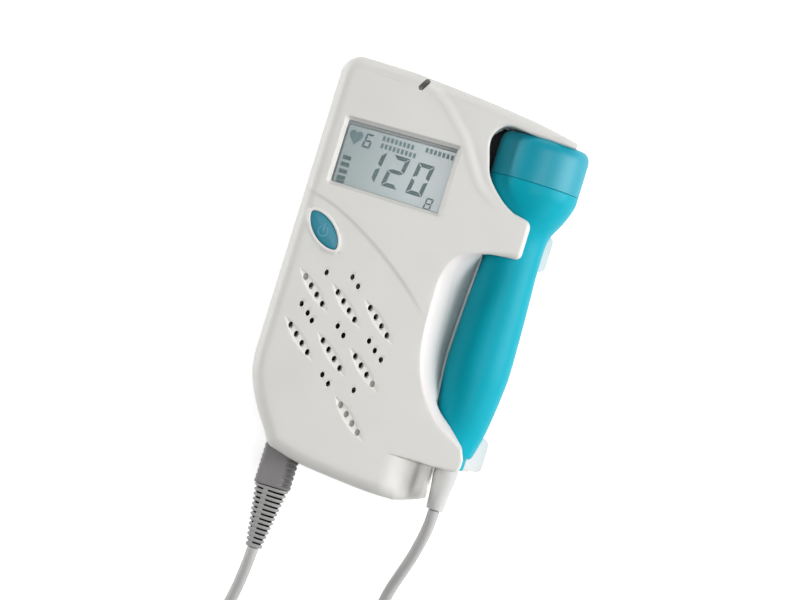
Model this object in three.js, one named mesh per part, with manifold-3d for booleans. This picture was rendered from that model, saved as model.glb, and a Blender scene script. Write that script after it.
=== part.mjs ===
// A pocket fetal doppler monitor that lies on its back, with its probe clipped in a bay on the right.
// Millimetres. X runs across the unit, Y towards its top edge and Z up, out of its front face.
// The origin is under the middle of the unit and its probe, on the surface that the back rests on.

import * as THREE from 'three';
import { mergeVertices } from 'three/addons/utils/BufferGeometryUtils.js';
import Module from 'manifold-3d';

const wasm = await Module();
wasm.setup();

// Sizes that every piece shares
const seam = 0.3; // the gap between pieces that touch
const overrun = 6; // how far a cutter reaches past what it cuts
const wall = 2;
const arcSteps = 4;
const curveSteps = 16;
const roundSides = 24;
const smallSides = 12;
const holeSides = 8;

// Probe, on an axis along Y
const probeX = 29.6;
const probeZ = 17.4;
const headRadius = 15.9;
const probeLength = 117.7;
const pocketGap = 0.6;
const hoodWall = 8.2;
const footRoom = 15.9;
const caseHalfLength = (probeLength + pocketGap + hoodWall + footRoom) / 2;
const probeFoot = footRoom - caseHalfLength;
const capShare = 0.867;
const nozzleRadius = 5.5;
const nozzleShare = 0.037;
const probeShares = [[0.037, 0.43], [0.064, 0.484], [0.108, 0.56], [0.167, 0.623], [0.24, 0.679],
  [0.317, 0.711], [0.47, 0.676], [0.606, 0.629], [0.691, 0.623], [0.729, 0.66], [0.753, 0.736],
  [0.788, 0.868], [0.834, 0.985], [0.867, 1]];
const probeWall = 1.6;
const probeClearance = 0.4;
const faceRadius = 13.2;
const faceThickness = 2;
const faceRound = 1.4;
const crystalRadius = 11.2;
const crystalThickness = 1;
const crystalGap = 1.2;
const backingRadius = 11.2;
const backingThickness = 5;
const probeBoardWidth = 11;
const probeBoardLength = 62;
const probeBoardThickness = 1.2;
const boardRest = 3.4;
const probeTop = probeFoot + probeLength;
const alongProbe = (share) => probeFoot + share * probeLength;

// Display
const windowX = -18.8;
const windowTopInset = 32.5;
const windowY = caseHalfLength - windowTopInset;
const windowMargin = 6.5;
const windowWidth = 40.6;
const windowHeight = 25.2;
const windowRadius = 1.2;
const windowSlope = 1.1;
const glazingThickness = 1.1;
const glazingLap = 1.6;
const frameThickness = 1.2;
const frameBorder = 1.3;
const lcdThickness = 2.4;
const lcdLap = 0.8;
const backlightThickness = 3.8;

// Battery compartment in the back
const cellRadius = 7.1;
const cellLength = 50;
const cellNubRadius = 2.6;
const cellNubLength = 1;
const cellGap = 0.6;
const cellCount = 3;
const bayCentreX = -19;
const bayCentreY = -10;
const contactThickness = 0.6;
const contactBump = 1.2;
const contactBumpRadius = 3;
const contactHeight = 10;
const doorThickness = 1.3;
const doorLap = 1.6;
const bayWall = 1.4;
const gripDepth = 0.5;
const gripWidth = 1.4;
const gripLength = 14;
const gripCount = 4;
const gripStep = 3;
const cellHeight = doorThickness + seam + cellGap + cellRadius;
const bayRoof = cellHeight + cellRadius + seam;

// Case
const caseHalfWidth = windowMargin + windowWidth / 2 - windowX;

// Heights of the display's layers, from the battery bay up to the front face
const boardThickness = 1.6;
const boardGap = 1.3;
const boardHeight = bayRoof + bayWall + boardGap;
const boardFace = boardHeight + boardThickness;
const backlightTop = boardFace + seam + backlightThickness;
const lcdTop = backlightTop + seam + lcdThickness;
const frameTop = lcdTop + seam + frameThickness;
const glazingTop = frameTop + seam + glazingThickness;
const innerFace = glazingTop + seam;
const caseDepth = innerFace + wall;
const partingHeight = 15;
const cornerRadius = 7;
const frontRound = 4.5;
const backRound = 3;
const rimRound = 1.1;
const hoodEnd = 39.3;
const topEdgeShares = [[-0.47, 1], [-0.096, 0.984], [0.283, 0.961], [0.664, 0.928], [1.2, 0.85]];
const footEdgeShares = [[1.2, -0.74], [0.55, -0.945], [0.35, -0.995], [0.27, -1], [0.04, -0.996],
  [-0.41, -0.967], [-0.68, -0.925]];
const footCornerShares = [[-0.68, -0.925], [-0.725, -0.9], [-0.765, -0.855], [-0.84, -0.785],
  [-0.925, -0.69], [-0.98, -0.598], [-1, -0.5]];

// Bay for the probe, cut into the case's right side
const fingerTopShare = 0.7553;
const fingerFootShare = 0.6398;
const fingerReach = 32.1;
const fingerTop = alongProbe(fingerTopShare);
const fingerFoot = alongProbe(fingerFootShare);
const fingerRadius = 2.2;
const fingerRoot = 19;
const lowFingerReach = 33.5;
const lowFingerDrop = 0.7;
const lowFingerHeight = 5;
const lowFingerFoot = probeFoot - lowFingerDrop;
const footSide = 24.4;
const pocketTop = probeTop + pocketGap;
const pocketShares = [[0.831, 1.0076], [0.5171, 1.0046], [0.412, 0.9955], [0.3395, 0.9719],
  [0.3239, 0.9429], [0.3651, 0.8987], [0.4361, 0.8461], [0.608, 0.7959], [0.7728, 0.7675],
  [0.9234, 0.7554]];
const bayShares = [[0.8523, 0.638], [0.6321, 0.6295], [0.4759, 0.6059], [0.3992, 0.5473],
  [0.4162, 0.4577], [0.429, 0.3489], [0.4659, 0.2521], [0.5427, 0.1988], [0.6577, 0.1523],
  [0.8253, 0.1141], [0.9944, 0.0706]];
const flankShares = [[0.8523, 0.6386], [0.625, 0.6332], [0.348, 0.5999], [0.2344, 0.5364],
  [0.223, 0.4577], [0.2415, 0.3549], [0.2983, 0.2702], [0.4262, 0.1904], [0.6137, 0.1256],
  [0.7756, 0.0936], [0.9944, 0.0615]];
const flankDepth = 12;
const flankStepShares = [[0, 0], [0.06, 0.14], [0.3, 0.46], [0.62, 0.76], [1, 1]];
const earTop = 8.2;
const middleEarReach = 42.3;
const middleEarTopShare = 0.7409;
const middleEarFootShare = 0.6296;
const middleEarTop = alongProbe(middleEarTopShare);
const middleEarFoot = alongProbe(middleEarFootShare);
const lowEarReach = 41.6;
const lowEarTopShare = 0.1062;
const lowEarFootShare = 0.0025;
const lowEarTop = alongProbe(lowEarTopShare);
const lowEarFoot = alongProbe(lowEarFootShare);
const bayFloorEdge = 37.5;
const channelDepth = 2.6;
const channelShares = [[0.22, -0.79], [0.6, -0.79], [0.6, -0.94], [0.44, -0.93], [0.33, -0.88]];

// Boot on the probe's cord
const bootRadius = 4.2;
const bootTipRadius = 3.05;
const bootLength = 15.4;
const bootSpigotRadius = 3;
const bootSpigotLength = 5;
const bootWaistShare = 0.22;

// Power button, a leaf that leans down to the right
const buttonInset = 10.5;
const buttonX = -caseHalfWidth + buttonInset;
const buttonBelowWindow = 28.4;
const buttonY = windowY - buttonBelowWindow;
const buttonHalfLength = 7.5;
const buttonHalfWidth = 3.6;
const buttonAngle = -0.745;
const buttonPower = 1.25; // above 1, the ends of the oval come to a soft point
const buttonRise = 0.7;
const buttonTravel = 0.8;
const buttonLip = 0.8;
const buttonLipThickness = 1.2;
const buttonStemRadius = 1.8;
const ringWidth = 1.2;
const ringRise = 0.45;
const switchWidth = 6;
const switchHeight = 3.4;

// Indicator in the top edge
const indicatorX = -16.9;
const indicatorInset = 3.3;
const indicatorY = caseHalfLength - indicatorInset;
const indicatorLength = 4.6;
const indicatorWidth = 1.6;
const indicatorAngle = 1.05;
const indicatorDepth = 4;
const ledWidth = 2.2;
const ledHeight = 2.6;

// Sound holes: leaf-shaped dishes with four holes each, and loose holes between them
const holeRadius = 0.75;
const leafHoles = 4;
const holeStep = 3.67;
const leafAngle = -0.731;
const leafHalfLength = 8.7;
const leafHalfWidth = 1.55;
const leafDepth = 0.8;
const leafInset = 9.2;
const leafX = -caseHalfWidth + leafInset;
const leafBelowButton = 17;
const leafY = buttonY - leafBelowButton;
const columnStep = 12.15;
const columnDrop = 1.9;
const rowStep = 17.3;
const leafCells = [[0, 0], [1, 0], [2, 0], [0, 1], [1, 1], [2, 1], [2, 2]];
const fieldWidth = 33;
const fieldHeight = 38;
const looseHoleShares = [[0.194, 0.089], [0.464, 0.118], [0.548, 0.053], [0.042, -0.245],
  [0.13, -0.308], [0.194, -0.363], [0.467, -0.342], [0.552, -0.408], [0.824, -0.387],
  [0.909, -0.455], [0.997, -0.518], [0.464, -0.8], [0.548, -0.863], [0.821, -0.85]];

// Loudspeaker
const speakerX = -20;
const speakerLift = 48.2;
const speakerY = speakerLift - caseHalfLength;
const speakerRadius = 19.6;
const speakerRim = 1.4;
const speakerRimWidth = 2.6;
const speakerDepth = 7.2;
const speakerPotRadius = 9.5;
const sheetThickness = 0.8;
const magnetHeight = 3.2;
const gasketThickness = 0.8;
const coneThickness = 0.6;
const coneDepth = 4;

// Circuit board
const boardInset = 1;
const boardLeft = -caseHalfWidth + wall + boardInset;
const boardRight = 8;
const boardTopInset = 12.2;
const boardTop = caseHalfLength - boardTopInset;
const boardBelowButton = 11.3;
const boardFoot = buttonY - boardBelowButton;
const chipWidth = 10;
const chipThickness = 1.4;
const chipInset = 14;

// Screws that close the case
const screwInset = 7.1;
const screwTopInset = 7.8;
const screwFootInset = 8.6;
const screwLift = 26.2;
const screwHoodInset = 8.8;
const screwHoodX = 3.5;
const screwFootX = 5.5;
const screwX = [-caseHalfWidth + screwInset, screwHoodX, -caseHalfWidth + screwInset, screwFootX];
const screwY = [caseHalfLength - screwTopInset, caseHalfLength - screwHoodInset,
  -caseHalfLength + screwLift, -caseHalfLength + screwFootInset];
const bossRadius = 3.3;
const screwHeadRadius = 2.4;
const screwHeadHeight = 1.8;
const screwRadius = 1.3;
const screwSink = 3;
const screwLength = 17;
const screwSlot = 0.6;

// Plug of the probe's cord, in a socket in the case's foot
const plugX = -26.7;
const plugZ = 15.5;
const plugWidth = 13;
const plugThickness = 9.6;
const plugSink = 12.7;
const plugLength = 21.3;
const plugTop = -caseHalfLength + plugSink;
const plugFoot = plugTop - plugLength;
const plugRound = 1.6;
const plugClearance = 0.35;
const noseWidth = 9;
const noseThickness = 5.6;
const noseLength = 6;
const socketWall = 1.5;
const socketDepth = 9;
const socketBlockTop = plugTop + wall;
const plugGripCount = 4;
const plugGripStep = 2.6;
const plugGripWidth = 1.1;
const plugGripDepth = 0.5;
const reliefLength = 21.8;
const reliefWidth = 12.2;
const reliefThickness = 8.6;
const reliefTip = 5.9;
const reliefSlots = 12;
const reliefSlotStep = 1.72;
const reliefSlotWidth = 0.8;
const reliefSpine = 1.7;
const reliefSpineWidth = 1.6;
const reliefCoreRadius = 2.6;

// Cord between the probe and its plug. A route's points are chosen by hand.
const cordDiameter = 4;
const cordSides = 8;
const probeRoute = [[29.6, -71.3, 17.4], [29.5, -75, 17.2], [29.1, -79.5, 16.2], [28.3, -84.5, 14],
  [27.2, -90, 10.9], [25.6, -96, 7.8], [23.9, -102, 5.3], [22.7, -108, 3.9], [22.3, -114, 3.3],
  [22.8, -120, 3.1], [23.9, -126, 3.1], [25.3, -132, 3.1], [26.5, -138, 3.1], [27.4, -144, 3.1],
  [27.65, -149.7, 3.1]];
const plugRoute = [[-26.7, -102.2, 15.5], [-26.9, -106, 15.3], [-27.3, -111, 14.4],
  [-28, -117, 12.9], [-29.2, -124, 11], [-30.6, -131, 9.3], [-32, -138, 8.2], [-33.1, -144, 7.8],
  [-33.65, -149.7, 7.7]];
const coilX = -3;
const coilY = -154;
const coilInside = 13.4;
const coilTurns = 7.5;
const coilPitch = 4.6;
const coilFoot = 3.1;
const coilSides = 6;
const coilStepsPerTurn = 24;
const tieThickness = 0.7;
const tieWidth = 9;
const tieRoom = 0.35;

// Colours
const shellWhite = { color: 0xdedfdc, roughness: 0.45, metalness: 0 };
const probeTeal = { color: 0x1fa8b5, roughness: 0.35, metalness: 0 };
const buttonBlue = { color: 0x2f87a0, roughness: 0.35, metalness: 0 };
const darkGrey = { color: 0x6f6d6c, roughness: 0.6, metalness: 0 };
const cordGrey = { color: 0xbebdb8, roughness: 0.55, metalness: 0 };
const lcdGreen = { color: 0xb0bebf, roughness: 0.3, metalness: 0 };
const clearSheet = { color: 0xe8f0f0, roughness: 0.05, metalness: 0 };
const boardGreen = { color: 0x1d6b3c, roughness: 0.5, metalness: 0 };
const black = { color: 0x1c1c1e, roughness: 0.6, metalness: 0 };
const steel = { color: 0xc4c6c8, roughness: 0.35, metalness: 1 };
const foamGrey = { color: 0x55585a, roughness: 0.9, metalness: 0 };

const group = new THREE.Group();

// Solids from shapes

function solidOf(geometry) {
  geometry.deleteAttribute('normal');
  geometry.deleteAttribute('uv');
  const merged = mergeVertices(geometry);
  const vertProperties = Float32Array.from(merged.attributes.position.array);
  const triVerts = Uint32Array.from(merged.index.array);
  return new wasm.Manifold(new wasm.Mesh({ numProp: 3, vertProperties, triVerts }));
}

function geometryOf(solid) {
  const mesh = solid.getMesh();
  const geometry = new THREE.BufferGeometry();
  geometry.setAttribute('position', new THREE.Float32BufferAttribute(mesh.vertProperties, 3));
  geometry.setIndex(Array.from(mesh.triVerts));
  return geometry;
}

function addPiece(name, solid, material) {
  const geometry = geometryOf(solid);
  geometry.computeVertexNormals();
  const mesh = new THREE.Mesh(geometry, new THREE.MeshStandardMaterial(material));
  mesh.name = name;
  group.add(mesh);
}

function box(x0, x1, y0, y1, z0, z1) {
  const geometry = new THREE.BoxGeometry(x1 - x0, y1 - y0, z1 - z0);
  geometry.translate((x0 + x1) / 2, (y0 + y1) / 2, (z0 + z1) / 2);
  return solidOf(geometry);
}

function shapeOf(points) {
  return new THREE.Shape(points.map(([x, y]) => new THREE.Vector2(x, y)));
}

function prism(points, z0, z1) {
  const geometry = new THREE.ExtrudeGeometry(shapeOf(points), { depth: z1 - z0, bevelEnabled: false });
  geometry.translate(0, 0, z0);
  return solidOf(geometry);
}

// A prism whose edges are rounded at both ends, inside its outline
function roundedPrism(points, z0, z1, round, steps = arcSteps) {
  const geometry = new THREE.ExtrudeGeometry(shapeOf(points), {
    depth: z1 - z0 - 2 * round,
    bevelThickness: round,
    bevelSize: round,
    bevelOffset: -round,
    bevelSegments: steps,
  });
  geometry.translate(0, 0, z0 + round);
  return solidOf(geometry);
}

function uprightRod(x, y, z0, z1, radius, sides = smallSides) {
  const geometry = new THREE.CylinderGeometry(radius, radius, z1 - z0, sides);
  geometry.rotateX(Math.PI / 2);
  geometry.translate(x, y, (z0 + z1) / 2);
  return solidOf(geometry);
}

// A solid of revolution about the probe's axis, from points of radius and place along Y
function turned(profile, sides = roundSides) {
  const geometry = new THREE.LatheGeometry(profile.map(([r, y]) => new THREE.Vector2(r, y)), sides);
  geometry.translate(probeX, 0, probeZ);
  return solidOf(geometry);
}

// A solid of revolution about an upright axis, from points of radius and height
function uprightTurned(x, y, profile, sides = roundSides) {
  const geometry = new THREE.LatheGeometry(profile.map(([r, z]) => new THREE.Vector2(r, z)), sides);
  geometry.rotateX(Math.PI / 2);
  geometry.scale(1, -1, 1);
  geometry.translate(x, y, 0);
  const flipped = geometry.index.array;
  for (let i = 0; i < flipped.length; i += 3) [flipped[i], flipped[i + 1]] = [flipped[i + 1], flipped[i]];
  return solidOf(geometry);
}

// A solid through outlines with one number of points, each at its own height
function loft(layers) {
  const count = layers[0].points.length;
  const positions = [];
  const index = [];
  for (const { points, z } of layers) {
    for (const [x, y] of points) positions.push(x, y, z);
  }
  for (let layer = 0; layer < layers.length - 1; layer++) {
    for (let i = 0; i < count; i++) {
      const a = layer * count + i;
      const b = layer * count + ((i + 1) % count);
      index.push(a, b, b + count, a, b + count, a + count);
    }
  }
  const caps = [layers[0], layers[layers.length - 1]].map(({ points }) => {
    const contour = points.map(([x, y]) => new THREE.Vector2(x, y));
    return THREE.ShapeUtils.triangulateShape(contour, []);
  });
  const top = (layers.length - 1) * count;
  for (const [a, b, c] of caps[0]) index.push(a, c, b);
  for (const [a, b, c] of caps[1]) index.push(top + a, top + b, top + c);
  const geometry = new THREE.BufferGeometry();
  geometry.setAttribute('position', new THREE.Float32BufferAttribute(positions, 3));
  geometry.setIndex(index);
  return solidOf(geometry);
}

// Outlines

function scaled(shares) {
  return shares.map(([x, y]) => [x * caseHalfWidth, y * caseHalfLength]);
}

function smooth(points, steps = curveSteps) {
  const curve = new THREE.SplineCurve(points.map(([x, y]) => new THREE.Vector2(x, y)));
  return curve.getPoints(steps).map(({ x, y }) => [x, y]);
}

function arc(x, y, radius, from, to, steps = arcSteps) {
  const points = [];
  for (let i = 0; i <= steps; i++) {
    const angle = from + ((to - from) * i) / steps;
    points.push([x + radius * Math.cos(angle), y + radius * Math.sin(angle)]);
  }
  return points;
}

// A rounded corner between two sides, which takes at most half of each
function corner(before, at, after, radius = fingerRadius) {
  const [ax, ay] = [before[0] - at[0], before[1] - at[1]];
  const [bx, by] = [after[0] - at[0], after[1] - at[1]];
  const a = Math.hypot(ax, ay);
  const b = Math.hypot(bx, by);
  const half = Math.acos((ax * bx + ay * by) / (a * b)) / 2;
  const reach = Math.min(radius / Math.tan(half), a / 2, b / 2);
  const start = [at[0] + (ax / a) * reach, at[1] + (ay / a) * reach];
  const end = [at[0] + (bx / b) * reach, at[1] + (by / b) * reach];
  const curve = new THREE.QuadraticBezierCurve(new THREE.Vector2(...start), new THREE.Vector2(...at),
    new THREE.Vector2(...end));
  return curve.getPoints(arcSteps).map(({ x, y }) => [x, y]);
}

// The outline moved outwards by a distance, or inwards by a negative one; it runs anticlockwise
function grown(points, distance) {
  return points.map(([x, y], i) => {
    const [px, py] = points[(i + points.length - 1) % points.length];
    const [nx, ny] = points[(i + 1) % points.length];
    const before = Math.hypot(x - px, y - py);
    const after = Math.hypot(nx - x, ny - y);
    const ax = (y - py) / before;
    const ay = -(x - px) / before;
    const bx = (ny - y) / after;
    const by = -(nx - x) / after;
    const scale = distance / (1 + ax * bx + ay * by);
    return [x + (ax + bx) * scale, y + (ay + by) * scale];
  });
}

function roundedBox(width, height, radius) {
  const x = width / 2 - radius;
  const y = height / 2 - radius;
  return [
    ...arc(x, y, radius, 0, Math.PI / 2),
    ...arc(-x, y, radius, Math.PI / 2, Math.PI),
    ...arc(-x, -y, radius, Math.PI, 1.5 * Math.PI),
    ...arc(x, -y, radius, 1.5 * Math.PI, 2 * Math.PI),
  ];
}

// A leaf with a point at each end, made of two arcs
function leafOutline(halfLength, halfWidth) {
  const radius = (halfLength ** 2 + halfWidth ** 2) / (2 * halfWidth);
  const swing = Math.asin(halfLength / radius);
  const upper = arc(0, halfWidth - radius, radius, Math.PI / 2 - swing, Math.PI / 2 + swing);
  const lower = arc(0, radius - halfWidth, radius, 1.5 * Math.PI - swing, 1.5 * Math.PI + swing);
  return [...upper, ...lower.slice(1, -1)];
}

function turnedOutline(points, angle, x, y) {
  const cos = Math.cos(angle);
  const sin = Math.sin(angle);
  return points.map(([u, v]) => [x + u * cos - v * sin, y + u * sin + v * cos]);
}

const farRight = caseHalfWidth + 2 * overrun;
const farUp = caseHalfLength + overrun;

// The silhouette of the case, as if it ran on to the right through the bay
const silhouette = [
  ...smooth(scaled(footCornerShares), arcSteps + 4).reverse().slice(1),
  ...smooth(scaled(footEdgeShares).reverse()).slice(1),
  ...smooth(scaled(topEdgeShares).reverse()),
  ...arc(-caseHalfWidth + cornerRadius, caseHalfLength - cornerRadius, cornerRadius,
    Math.PI / 2, Math.PI).slice(1),
  [-caseHalfWidth, -caseHalfLength / 2],
];

// Outlines beside the probe follow the fingers' reach and the probe's length
const besideProbe = (shares) => shares.map(([x, y]) => [x * fingerReach, alongProbe(y)]);
const pocketEdge = smooth(besideProbe(pocketShares));
const bayEdge = smooth(besideProbe(bayShares));
const flankEdge = smooth(besideProbe(flankShares));

// Head pocket, from its top right round to the finger's top, closed on the right
const pocket = [
  [farRight, pocketTop], [hoodEnd, pocketTop], ...pocketEdge, [farRight, fingerTop],
];
const bay = [[farRight, fingerFoot], ...bayEdge, [farRight, bayEdge[bayEdge.length - 1][1]]];

const lowTip = [lowFingerReach, lowFingerFoot + lowFingerHeight];

// The plan of the case with its bay: hood, middle finger, scallop, low finger and foot
const plan = [
  [-farRight, farUp], [-farRight, -farUp], [footSide, -farUp],
  [footSide, lowFingerFoot],
  ...corner([footSide, lowFingerFoot], [lowFingerReach, lowFingerFoot], lowTip),
  ...corner([lowFingerReach, lowFingerFoot], lowTip, bayEdge[bayEdge.length - 1]),
  ...[...bayEdge].reverse(),
  ...corner(bayEdge[0], [fingerReach, fingerFoot], [fingerReach, fingerTop]),
  ...corner([fingerReach, fingerFoot], [fingerReach, fingerTop], pocketEdge[pocketEdge.length - 2]),
  ...[...pocketEdge].reverse().slice(1),
  [hoodEnd, pocketTop], [hoodEnd, farUp],
];

// The space that the probe needs at rest and as it slides out to the right

function probeProfile(grow) {
  const points = probeShares.map(([y, r]) => [r * headRadius + grow, probeFoot + y * probeLength]);
  const nozzleEnd = probeFoot + nozzleShare * probeLength;
  return [
    [0, probeFoot - bootLength], [bootRadius + grow, probeFoot - bootLength],
    [bootRadius + grow, probeFoot - grow], [nozzleRadius + grow, probeFoot - grow],
    [nozzleRadius + grow, nozzleEnd - grow], ...points,
    [headRadius + grow, probeFoot + probeLength + grow], [0, probeFoot + probeLength + grow],
  ];
}

function probeSpace(grow) {
  const profile = probeProfile(grow);
  const side = [
    ...profile.map(([r, y]) => [r, y]),
    ...[...profile].reverse().slice(1, -1).map(([r, y]) => [-r, y]),
  ];
  const geometry = new THREE.ExtrudeGeometry(shapeOf(side), { depth: farRight, bevelEnabled: false });
  geometry.rotateY(Math.PI / 2);
  geometry.translate(probeX, 0, probeZ);
  return turned(profile).add(solidOf(geometry));
}

// The cut that slopes from the front face down into the bay
function flankCut(grow) {
  const close = (points) => [
    [farRight, bayEdge[0][1]], ...points, [farRight, bayEdge[bayEdge.length - 1][1]],
  ];
  const layers = flankStepShares.map(([across, down]) => ({
    points: grown(close(flankEdge.map(([x, y], i) => [
      x + (bayEdge[i][0] - x) * across, y + (bayEdge[i][1] - y) * across,
    ])), grow),
    z: caseDepth - flankDepth * down - grow * Math.min(1, down + across),
  }));
  layers.unshift({ points: layers[0].points, z: caseDepth + overrun });
  return loft(layers.reverse());
}

// Inside of the case, kept off the bay by a wall
function cavity(z0, z1, round) {
  const inner = grown(silhouette, -wall);
  return roundedPrism(inner, z0, z1, round)
    .subtract(prism(grown(pocket, wall), z0 - overrun, z1 + overrun))
    .subtract(prism(grown(bay, wall), z0 - overrun, z1 + overrun))
    .subtract(box(fingerRoot, farRight, -farUp, fingerTop + wall, z0 - overrun, z1 + overrun))
    .subtract(box(footSide - wall, farRight, -farUp, farUp, z0 - overrun, z1 + overrun));
}

const buttonOutline = (grow) => turnedOutline(
  leafLike(buttonHalfLength + grow, buttonHalfWidth + grow), buttonAngle, buttonX, buttonY);

// An oval that is a little pointed at its ends
function leafLike(halfLength, halfWidth) {
  const points = [];
  for (let i = 0; i < roundSides; i++) {
    const angle = (2 * Math.PI * i) / roundSides;
    const rise = Math.sin(angle);
    points.push([halfLength * Math.cos(angle),
      halfWidth * Math.sign(rise) * Math.abs(rise) ** buttonPower]);
  }
  return points;
}

function indicatorOutline(grow) {
  const points = roundedBox(indicatorLength + 2 * grow, indicatorWidth + 2 * grow,
    indicatorWidth / 2 - grow);
  return turnedOutline(points, indicatorAngle, indicatorX, indicatorY);
}

function boxAt(x, y, width, height, z0, z1, radius) {
  const points = roundedBox(width, height, radius).map(([u, v]) => [x + u, y + v]);
  return prism(points, z0, z1);
}

// Holes for the sound, placed from the leaves' first holes
const leafDirection = [Math.cos(leafAngle), Math.sin(leafAngle)];
const leafPlaces = leafCells.map(([column, row]) => [
  leafX + column * columnStep, leafY - column * columnDrop - row * rowStep,
]);
const soundHoles = leafPlaces.flatMap(([x, y]) => Array.from({ length: leafHoles }, (_, i) => [
  x + leafDirection[0] * holeStep * i, y + leafDirection[1] * holeStep * i,
]));
for (const [x, y] of looseHoleShares) soundHoles.push([leafX + x * fieldWidth, leafY + y * fieldHeight]);

function makeFrontShell() {
  const outside = roundedPrism(silhouette, 0, caseDepth, frontRound)
    .intersect(roundedPrism(plan, 0, caseDepth, rimRound, 3));
  const half = box(-farRight, farRight, -farUp, farUp, partingHeight + seam / 2, caseDepth + overrun);
  let inside = cavity(-overrun, innerFace, frontRound - wall).subtract(flankCut(wall));
  inside = inside.subtract(plugBlock(partingHeight + seam / 2, innerFace + overrun));
  for (let i = 0; i < screwX.length; i++) {
    inside = inside.subtract(uprightRod(screwX[i], screwY[i], 0, caseDepth, bossRadius));
  }
  let shell = outside.subtract(inside).intersect(half);
  shell = shell.subtract(flankCut(0)).subtract(probeSpace(probeClearance));
  const channel = prism(scaled(channelShares).reverse(), caseDepth - channelDepth, caseDepth + overrun);
  shell = shell.subtract(channel).subtract(plugRecess());
  shell = shell.add(prism(buttonOutline(ringWidth), innerFace, caseDepth + ringRise));
  shell = shell.subtract(prism(buttonOutline(seam), innerFace - overrun, caseDepth + overrun));
  const opening = roundedBox(windowWidth, windowHeight, windowRadius);
  const place = ([x, y]) => [x + windowX, y + windowY];
  shell = shell.subtract(loft([
    { points: grown(opening, -windowSlope).map(place), z: innerFace - seam },
    { points: opening.map(place), z: caseDepth },
    { points: opening.map(place), z: caseDepth + overrun },
  ]));
  shell = shell.subtract(prism(indicatorOutline(seam / 2), innerFace - overrun, caseDepth + overrun));
  for (const [x, y] of leafPlaces) {
    const reach = (holeStep * (leafHoles - 1)) / 2;
    const outline = turnedOutline(leafOutline(leafHalfLength, leafHalfWidth), leafAngle,
      x + leafDirection[0] * reach, y + leafDirection[1] * reach);
    shell = shell.subtract(prism(outline, caseDepth - leafDepth, caseDepth + overrun));
  }
  for (const [x, y] of soundHoles) {
    shell = shell.subtract(uprightRod(x, y, innerFace - overrun, caseDepth + overrun, holeRadius,
      holeSides));
  }
  for (let i = 0; i < screwX.length; i++) {
    shell = shell.subtract(uprightRod(screwX[i], screwY[i], partingHeight - overrun,
      screwSink + screwLength + overrun, screwRadius + seam));
  }
  return shell;
}

// Block of the foot that the plug sinks into
function plugBlock(z0, z1) {
  return box(plugX - plugWidth / 2 - wall, plugX + plugWidth / 2 + wall, -farUp, socketBlockTop, z0, z1);
}

function plugRecess() {
  const recess = roundedBox(plugWidth + 2 * plugClearance, plugThickness + 2 * plugClearance, plugRound);
  return alongY(recess, -farUp - overrun, plugTop + seam)
    .add(alongY(roundedBox(noseWidth + 2 * socketWall + 2 * seam,
      noseThickness + 2 * socketWall + 2 * seam, plugRound / 2), plugTop, plugTop + 2 * overrun));
}

// A prism along Y on the plug's axis, from an outline in X and Z
function alongY(points, y0, y1) {
  const geometry = new THREE.ExtrudeGeometry(shapeOf(points), { depth: y1 - y0, bevelEnabled: false });
  geometry.rotateX(Math.PI / 2);
  geometry.translate(plugX, y1, plugZ);
  return solidOf(geometry);
}

// Battery bay sizes, from the cells
const bayWidth = cellCount * 2 * cellRadius + (cellCount + 1) * cellGap;
const contactRoom = contactThickness + contactBump + 2 * seam;
const bayLength = cellLength + cellNubLength + 2 * contactRoom;
const bayBox = (grow, z0, z1) => box(bayCentreX - bayWidth / 2 - grow, bayCentreX + bayWidth / 2 + grow,
  bayCentreY - bayLength / 2 - grow, bayCentreY + bayLength / 2 + grow, z0, z1);

function makeRearShell() {
  const ears = [
    [[fingerRoot, middleEarFoot], [middleEarReach, middleEarTop]],
    [[fingerRoot, lowEarFoot], [lowEarReach, lowEarTop]],
  ].map(([[x0, y0], [x1, y1]]) => boxAt((x0 + x1) / 2, (y0 + y1) / 2, x1 - x0, y1 - y0, 0, earTop,
    fingerRadius));
  const floor = box(0, bayFloorEdge, lowFingerFoot, pocketTop + wall, 0, wall);
  const tall = roundedPrism(plan, -overrun, caseDepth, rimRound, 3);
  const low = box(-farRight, farRight, -farUp, farUp, -overrun, partingHeight - seam / 2);
  let shell = roundedPrism(silhouette, 0, caseDepth, backRound)
    .intersect(tall.add(floor).add(ears[0]).add(ears[1])).intersect(low);
  let inside = cavity(wall, caseDepth + overrun, backRound - wall / 2);
  inside = inside.subtract(plugBlock(0, partingHeight - seam / 2));
  inside = inside.subtract(bayBox(bayWall, 0, bayRoof + bayWall));
  for (let i = 0; i < screwX.length; i++) {
    inside = inside.subtract(uprightRod(screwX[i], screwY[i], 0, caseDepth, bossRadius));
  }
  shell = shell.subtract(inside).subtract(probeSpace(probeClearance)).subtract(plugRecess());
  shell = shell.add(bayBox(bayWall, partingHeight - wall, bayRoof + bayWall));
  shell = shell.subtract(bayBox(0, -overrun, bayRoof));
  shell = shell.subtract(bayBox(doorLap, -overrun, doorThickness + seam));
  for (let i = 0; i < screwX.length; i++) {
    shell = shell
      .subtract(uprightRod(screwX[i], screwY[i], -overrun, screwSink + screwHeadHeight,
        screwHeadRadius + seam))
      .subtract(uprightRod(screwX[i], screwY[i], -overrun, caseDepth, screwRadius + seam));
  }
  return shell;
}

addPiece('front_shell', makeFrontShell(), shellWhite);
addPiece('rear_shell', makeRearShell(), shellWhite);

// Battery door with its thumb grooves, and the cells behind it
const doorTop = bayCentreY + bayLength / 2 + doorLap - seam;
let door = bayBox(doorLap - seam, 0, doorThickness);
for (let i = 0; i < gripCount; i++) {
  const y = doorTop - gripStep * (i + 1);
  door = door.subtract(box(bayCentreX - gripLength / 2, bayCentreX + gripLength / 2,
    y - gripWidth / 2, y + gripWidth / 2, -overrun, gripDepth));
}
addPiece('battery_door', door, shellWhite);

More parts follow.
